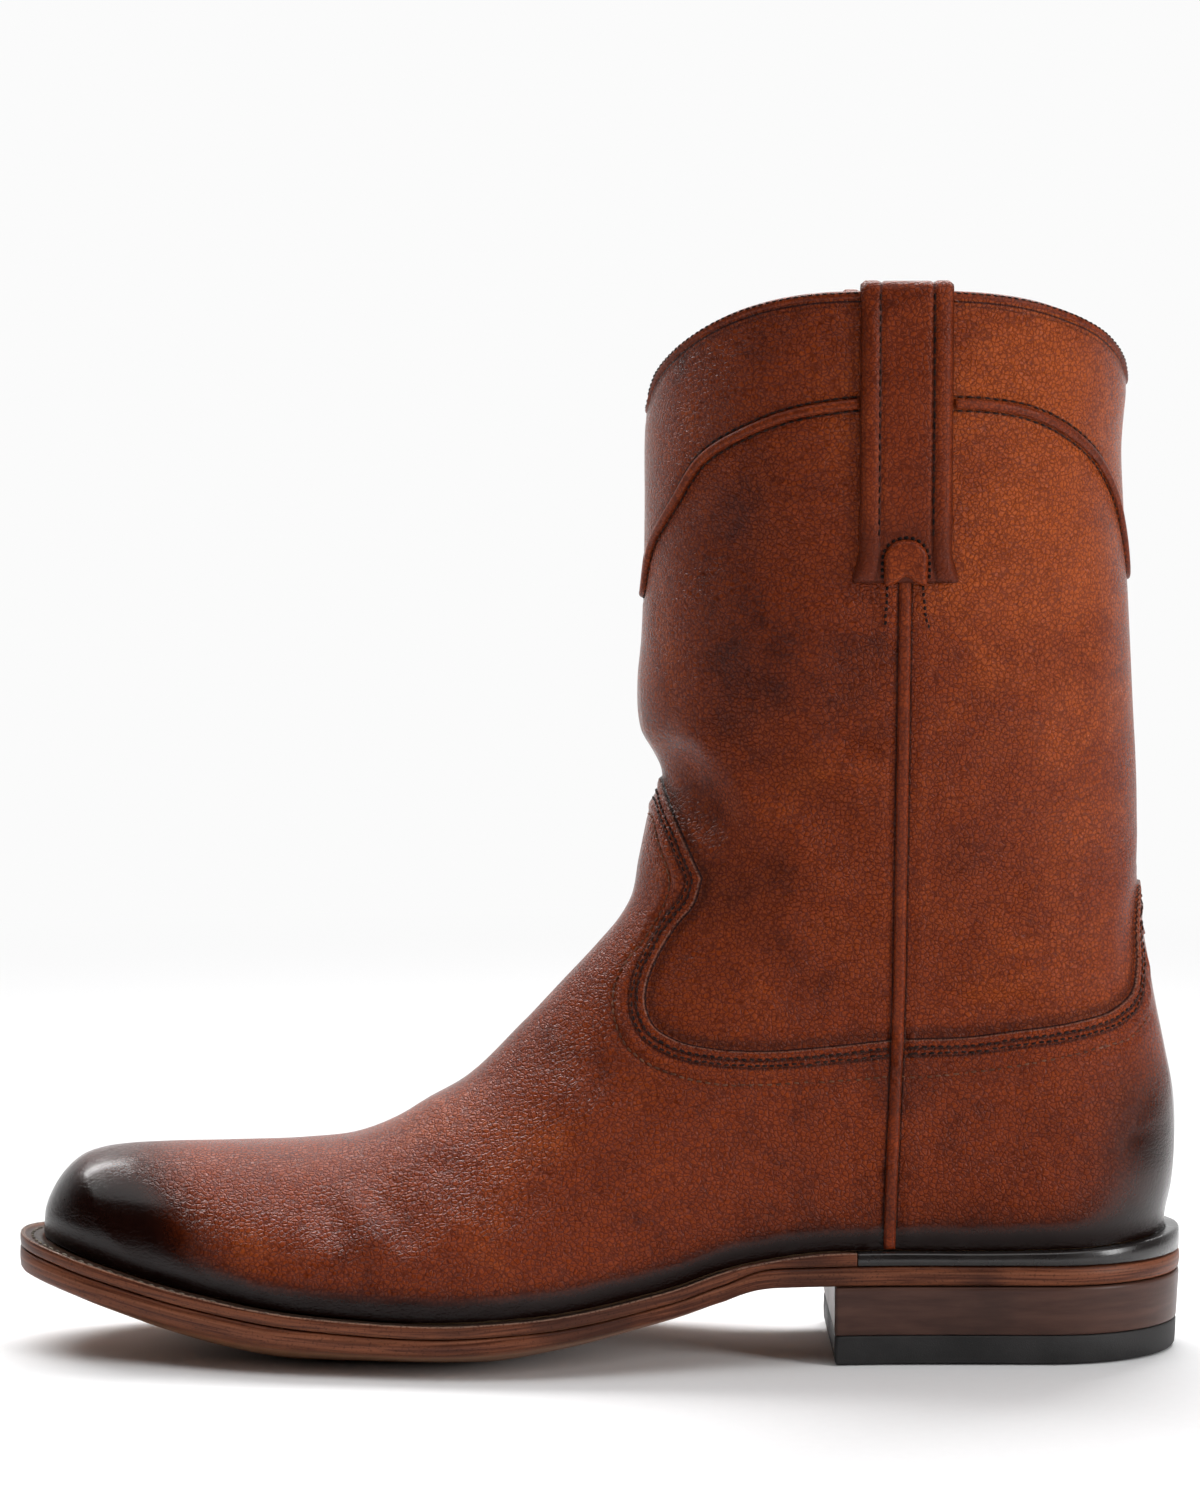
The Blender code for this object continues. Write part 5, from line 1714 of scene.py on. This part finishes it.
def edge_look():
    """Dyed edge of welt and outsole: streaks round the sole, pale lip, and a dark top of dye and painted
    shade under the upper.
    """
    look = Look("sole_edge")
    rise, top = look.kept("rise"), look.kept("top")
    plan = look.node("ShaderNodeSeparateXYZ", {"Vector": look.place}).outputs
    along_edge = {"X": plan["X"], "Y": plan["Y"], "Z": look.times(rise, STREAK_RISE)}
    place = look.node("ShaderNodeCombineXYZ", along_edge).outputs[0]
    streaks = look.noise(38.0, 6.0, 0.65, 0.3, place)
    broad = look.noise(24.0, 3.0, 0.5, 0.2)
    speck = look.noise(1500.0, 3.0, 0.6)
    color = look.mixed((0.060, 0.015, 0.007), (0.235, 0.075, 0.034), look.span(streaks, 0.33, 0.68))
    color = look.mixed(color, (0.040, 0.013, 0.008), look.span(broad, 0.55, 0.36, 0.0, 0.75))
    color = look.mixed(color, (0.330, 0.130, 0.070), look.times(look.near(rise, 3.4, 0.55), 0.35))
    color = look.mixed(color, (0.200, 0.200, 0.200), look.span(speck, 0.44, 0.36, 0.0, 0.45), "MULTIPLY")
    level = look.node("ShaderNodeNewGeometry", {}).outputs["Normal"]
    facing_up = look.node("ShaderNodeSeparateXYZ", {"Vector": level}).outputs["Z"]
    # The welt's top is dark: dye, and painted shade under the upper
    welt_top_dye_and_shade = look.times(look.span(facing_up, 0.75, 0.95), look.span(top, 1.0, 0.3))
    color = look.mixed(color, (0.022, 0.012, 0.008), welt_top_dye_and_shade)
    lip = look.times(look.near(top, 0.05, 0.34), look.span(speck, 0.38, 0.52))
    color = look.mixed(color, (0.330, 0.190, 0.130), look.times(lip, 0.60))
    under = look.span(facing_up, -0.80, -0.96)
    color = look.mixed(color, (0.240, 0.115, 0.060), under)
    height = look.plus(look.times(streaks, 0.8), look.times(speck, 0.5))
    roughness = look.span(streaks, 0.3, 0.7, 0.34, 0.50)
    return look.finish(color, roughness, look.bumps(height, 0.00022, 0.5), 0.0, 0.25, 0.19)


def stack_look():
    look = Look("heel_stack_leather")
    long = look.noise(30.0, 5.0, 0.6, 0.2, look.stretched(1.0, 1.0, 9.0))
    cloud = look.noise(45.0, 3.0, 0.5)
    speck = look.noise(1900.0, 2.0, 0.6)
    color = look.mixed((0.050, 0.021, 0.015), (0.092, 0.041, 0.029), look.span(long, 0.3, 0.7))
    color = look.mixed(color, (0.040, 0.018, 0.013), look.span(cloud, 0.55, 0.35, 0.0, 0.6))
    height = look.plus(look.times(long, 0.8), look.times(speck, 0.3))
    roughness = look.span(cloud, 0.3, 0.7, 0.34, 0.44)
    return look.finish(color, roughness, look.bumps(height, 0.00012, 0.5), 0.05, 0.25, 0.25)


def rand_look():
    look = Look("black_rand")
    cloud = look.noise(120.0, 3.0, 0.5)
    speck = look.noise(2200.0, 2.0, 0.6)
    color = look.mixed((0.010, 0.008, 0.008), (0.022, 0.018, 0.017), cloud)
    roughness = look.span(cloud, 0.3, 0.7, 0.20, 0.32)
    return look.finish(color, roughness, look.bumps(speck, 0.00008, 0.5), 0.25, 0.15, 0.5)


def rubber_look():
    look = Look("lift_rubber")
    cloud = look.noise(60.0, 4.0, 0.6)
    speck = look.noise(2400.0, 3.0, 0.7)
    color = look.mixed((0.011, 0.010, 0.010), (0.024, 0.022, 0.022), look.span(cloud, 0.35, 0.65))
    color = look.mixed(color, (0.090, 0.085, 0.080), look.span(speck, 0.70, 0.78, 0.0, 0.5))
    roughness = look.span(cloud, 0.3, 0.7, 0.50, 0.66)
    return look.finish(color, roughness, look.bumps(speck, 0.00012, 0.8), 0.0, 0.2, 0.4)


def lining_look():
    look = Look("lining_leather")
    cloud = look.noise(28.0, 4.0, 0.6)
    pores = look.cells(1300.0, look.warped(1100.0, 0.0006))
    speck = look.noise(2300.0, 3.0, 0.6)
    color = look.mixed((0.300, 0.165, 0.085), (0.480, 0.300, 0.170), look.span(cloud, 0.3, 0.7))
    color = look.mixed(color, (0.60, 0.56, 0.52), look.span(pores, 0.10, 0.0, 0.0, 0.5), "MULTIPLY")
    height = look.plus(look.span(pores, 0.0, 0.15), look.times(speck, 0.5))
    roughness = look.span(cloud, 0.3, 0.7, 0.56, 0.70)
    return look.finish(color, roughness, look.bumps(height, 0.00015, 0.5), 0.0, 0.3, 0.4)


def thread_look(name, dark, light):
    look = Look(name)
    twist = look.noise(5200.0, 2.0, 0.5)
    patch = look.noise(160.0, 2.0, 0.5)
    color = look.mixed(dark, light, look.span(patch, 0.35, 0.65))
    roughness = look.span(twist, 0.3, 0.7, 0.50, 0.70)
    return look.finish(color, roughness, look.bumps(twist, 0.00010, 0.8), 0.0, 0.3, 0.12)


def floor_look():
    """White paper: it takes shadows near the boot and glows evenly further out."""
    look = Look("studio_floor")
    position = look.node("ShaderNodeNewGeometry", {}).outputs["Position"]
    far = look.node("ShaderNodeVectorMath", {0: position}, operation="LENGTH").outputs["Value"]
    fade = look.span(far, 0.42, 0.95 * FLOOR_RADIUS)
    grain = look.noise(300.0, 3.0)
    color = look.mixed((0.88, 0.88, 0.885), (0.91, 0.91, 0.915), grain)
    color = look.mixed(color, (0.66, 0.66, 0.66), look.span(far, 0.15, 0.45), "MULTIPLY")
    look.feed(look.shader.inputs["Base Color"], look.mixed(color, (0.0, 0.0, 0.0), fade))
    look.shader.inputs["Roughness"].default_value = 0.9
    look.shader.inputs["Specular IOR Level"].default_value = 0.0
    look.shader.inputs["Emission Color"].default_value = (BACKDROP, BACKDROP, BACKDROP, 1.0)
    look.feed(look.shader.inputs["Emission Strength"], fade)
    return look.material


# Camera, as the photo was taken, and the white round the boot
CAMERA_PLACE = (-0.1069, -1.25, 0.25)
CAMERA_AIM = (-0.1069, 0.0, 0.1578)
CAMERA_LENS = 113.9
FLOOR_RADIUS = 1.15
BACKDROP = 0.965

# Lamps: name, place, the point that it faces, width and height, watts
LIGHTS = (
    ("behind", (-0.25, 0.75, 1.15), (-0.12, 0.0, 0.05), (1.9, 0.28), 27.0),
    ("overhead", (-0.20, -0.30, 1.60), (-0.12, -0.1, 0.0), (2.4, 1.4), 18.0),
    ("right", (1.1, -0.8, 0.55), (-0.05, 0.0, 0.15), (0.4, 0.8), 11.0),
)


def make_camera():
    data = bpy.data.cameras.new("camera")
    data.lens = CAMERA_LENS
    data.sensor_width = 36.0
    camera = bpy.data.objects.new("camera", data)
    camera.location = CAMERA_PLACE
    way = Vector(CAMERA_AIM) - Vector(CAMERA_PLACE)
    camera.rotation_euler = way.to_track_quat("-Z", "Y").to_euler()
    bpy.context.scene.collection.objects.link(camera)
    bpy.context.scene.camera = camera


def make_light(name, place, aim, size, power):
    data = bpy.data.lights.new(name, "AREA")
    data.shape = "RECTANGLE"
    data.size, data.size_y = size
    data.energy = power
    light = bpy.data.objects.new(name, data)
    light.location = place
    light.rotation_euler = (Vector(aim) - Vector(place)).to_track_quat("-Z", "Y").to_euler()
    bpy.context.scene.collection.objects.link(light)


# How the world's light grows from the viewer's side to the back
WORLD_RAMP = {"From Min": 0.05, "From Max": 0.95, "To Min": 0.0, "To Max": 1.3}


def make_world():
    """White to the eye; as light it is bright above and behind, and dim on the viewer's side."""
    world = bpy.data.worlds.new("studio")
    world.use_nodes = True
    tree = world.node_tree
    tree.nodes.clear()
    way = tree.nodes.new("ShaderNodeTexCoord").outputs["Generated"]
    split = tree.nodes.new("ShaderNodeSeparateXYZ")
    tree.links.new(way, split.inputs[0])
    depth = tree.nodes.new("ShaderNodeMapRange")
    depth.interpolation_type = "SMOOTHSTEP"
    for key, value in WORLD_RAMP.items():
        depth.inputs[key].default_value = value
    tree.links.new(split.outputs["Y"], depth.inputs["Value"])
    seen = tree.nodes.new("ShaderNodeBackground")
    seen.inputs["Color"].default_value = (BACKDROP, BACKDROP, BACKDROP, 1.0)
    lit = tree.nodes.new("ShaderNodeBackground")
    tree.links.new(depth.outputs["Result"], lit.inputs["Strength"])
    rays = tree.nodes.new("ShaderNodeLightPath")
    mix = tree.nodes.new("ShaderNodeMixShader")
    out = tree.nodes.new("ShaderNodeOutputWorld")
    tree.links.new(rays.outputs["Is Camera Ray"], mix.inputs[0])
    tree.links.new(lit.outputs[0], mix.inputs[1])
    tree.links.new(seen.outputs[0], mix.inputs[2])
    tree.links.new(mix.outputs[0], out.inputs["Surface"])
    bpy.context.scene.world = world


def make_floor():
    """A white disc that ends where its own glow equals the background."""
    turns = np.linspace(0.0, 2.0 * math.pi, 65)[:-1]
    rim = [(FLOOR_RADIUS * math.cos(turn), FLOOR_RADIUS * math.sin(turn), -0.0002) for turn in turns]
    mesh = bpy.data.meshes.new("floor")
    mesh.from_pydata(rim, [], [list(range(len(rim)))])
    mesh.materials.append(floor_look())
    floor = bpy.data.objects.new("floor", mesh)
    bpy.context.scene.collection.objects.link(floor)


# Rows of stitches, as distances from the line that they follow; the rim's is offset past the edge, so
# its stitches come to lie on the edge itself
VAMP_ROWS = (0.0024, 0.0043)
SCALLOP_ROW = 0.0018
RIM_ROW = 0.0033


def make_stitches(skin):
    """Rows at the vamp's edge, the collar's scallop and the rim."""
    dark = thread_look("dark_thread", (0.010, 0.006, 0.005), (0.035, 0.015, 0.010))
    brown = thread_look("brown_thread", (0.090, 0.030, 0.014), (0.200, 0.085, 0.045))
    scallop = ring(smooth_path(leg_path(SCALLOP))[::2])
    rim = ring(smooth_path(leg_path(RIM))[::2])
    third = ring(smooth_path(foot_rows(THIRD_ROW))[::2])
    edge = EDGE_RING
    toward_foot = -1.0 if leads_up(skin, edge) else 1.0
    vamp_rows = [beside(skin, edge, toward_foot * offset) for offset in VAMP_ROWS]
    stitches("vamp_stitches", "vamp", skin, vamp_rows, dark)
    stitches("third_row_stitches", "third", skin, [third], brown)
    collar_rows = []
    for at_front in (True, False):
        run = collar_run(scallop, at_front)
        collar_rows += [beside(skin, run, SCALLOP_ROW), beside(skin, run, -SCALLOP_ROW)]
    stitches("collar_stitches", "collar", skin, collar_rows, dark)
    upward = 1.0 if leads_up(skin, rim) else -1.0
    rim_rows = [beside(skin, collar_run(rim, at_front), upward * RIM_ROW) for at_front in (True, False)]
    stitches("rim_stitches", "rim", skin, rim_rows, dark)


def leads_up(skin, line):
    """Whether a positive offset from a line leads up."""
    part = line[len(line) // 8:len(line) // 8 + 5]
    return beside(skin, part, 0.001)[:, 2].mean() > part[:, 2].mean()


def beside_strap(side, across, up):
    """Points near the skin from places across and up from the middle of the strap's foot."""
    sign = -1.0 if side == 1 else 1.0
    x = SEAM_X + np.asarray(across)
    z = STRAP_FOOT + np.asarray(up)
    widths = half_width(x, np.minimum(z, rim_height(SEAM_X)))[side - 1]
    return np.column_stack([x, sign * (widths + STRAP_THICKNESS), z])


def make_strap_stitches(name, strap, skin, side):
    """Two rows down the pull strap, an arch of coarse ones round the patch and two short tails."""
    dark = thread_look("strap_thread_" + name, (0.004, 0.003, 0.003), (0.030, 0.012, 0.008))
    up = np.arange(PATCH_RISE + 0.0005, STRAP_DROP + 0.0008, 0.001)
    rows = [beside_strap(side, np.full(len(up), across), up) for across in (-0.00675, 0.00675)]
    on_strap = Skin(strap)
    stitches("strap_stitches_" + name, "strap", on_strap, rows, dark)
    turn = np.linspace(0.0, math.pi, 25)
    half = PATCH_HALF + 0.0004
    straight = 0.55 * PATCH_RISE
    across = np.concatenate([[half, half], half * np.cos(turn), [-half, -half]])
    rise = straight + (PATCH_RISE + 0.0006 - straight) * np.sin(turn)
    leg = [0.0008, 0.5 * straight]
    arch = beside_strap(side, across, np.concatenate([leg, rise, leg[::-1]]))
    stitches("arch_stitches_" + name, "arch", on_strap, [arch], dark)
    tails = [beside_strap(side, *np.transpose(tail)) for tail in TAILS]
    stitches("tail_stitches_" + name, "tail", skin, tails, dark)


def main():
    make_camera()
    make_world()
    for row in LIGHTS:
        make_light(*row)
    make_floor()
    skins = {
        "upper": upper_look(),
        "strap": strap_look(),
        "bead": trim_look("bead_leather", 0.1, 0.15),
        "patch": trim_look("patch_leather", 0.15, 0.10),
        "edge": edge_look(),
        "stack": stack_look(),
        "rand": rand_look(),
        "rubber": rubber_look(),
        "lining": lining_look(),
    }
    piece, rows, closed_from = make_skin(skins["upper"])
    skin = Skin(piece)
    make_lining(rows, closed_from, skins["lining"])
    make_rim(rows, skins["bead"])
    make_side_bead("side_bead_outer", skin, 1, "side_piping_outer", skins["bead"])
    make_side_bead("side_bead_inner", skin, 2, "side_piping_inner", skins["bead"])
    make_collar_beads(skin, skins["bead"])
    for name, side in (("outer", 1), ("inner", 2)):
        strap = make_strap("strap_" + name, side, "pull_strap_" + name, skins["strap"])
        make_patch("patch_" + name, side, skins["patch"])
        make_strap_stitches(name, strap, skin, side)
    make_sole(rows, closed_from, skins)
    make_stitches(skin)
    bpy.context.scene.view_settings.view_transform = "Standard"


main()
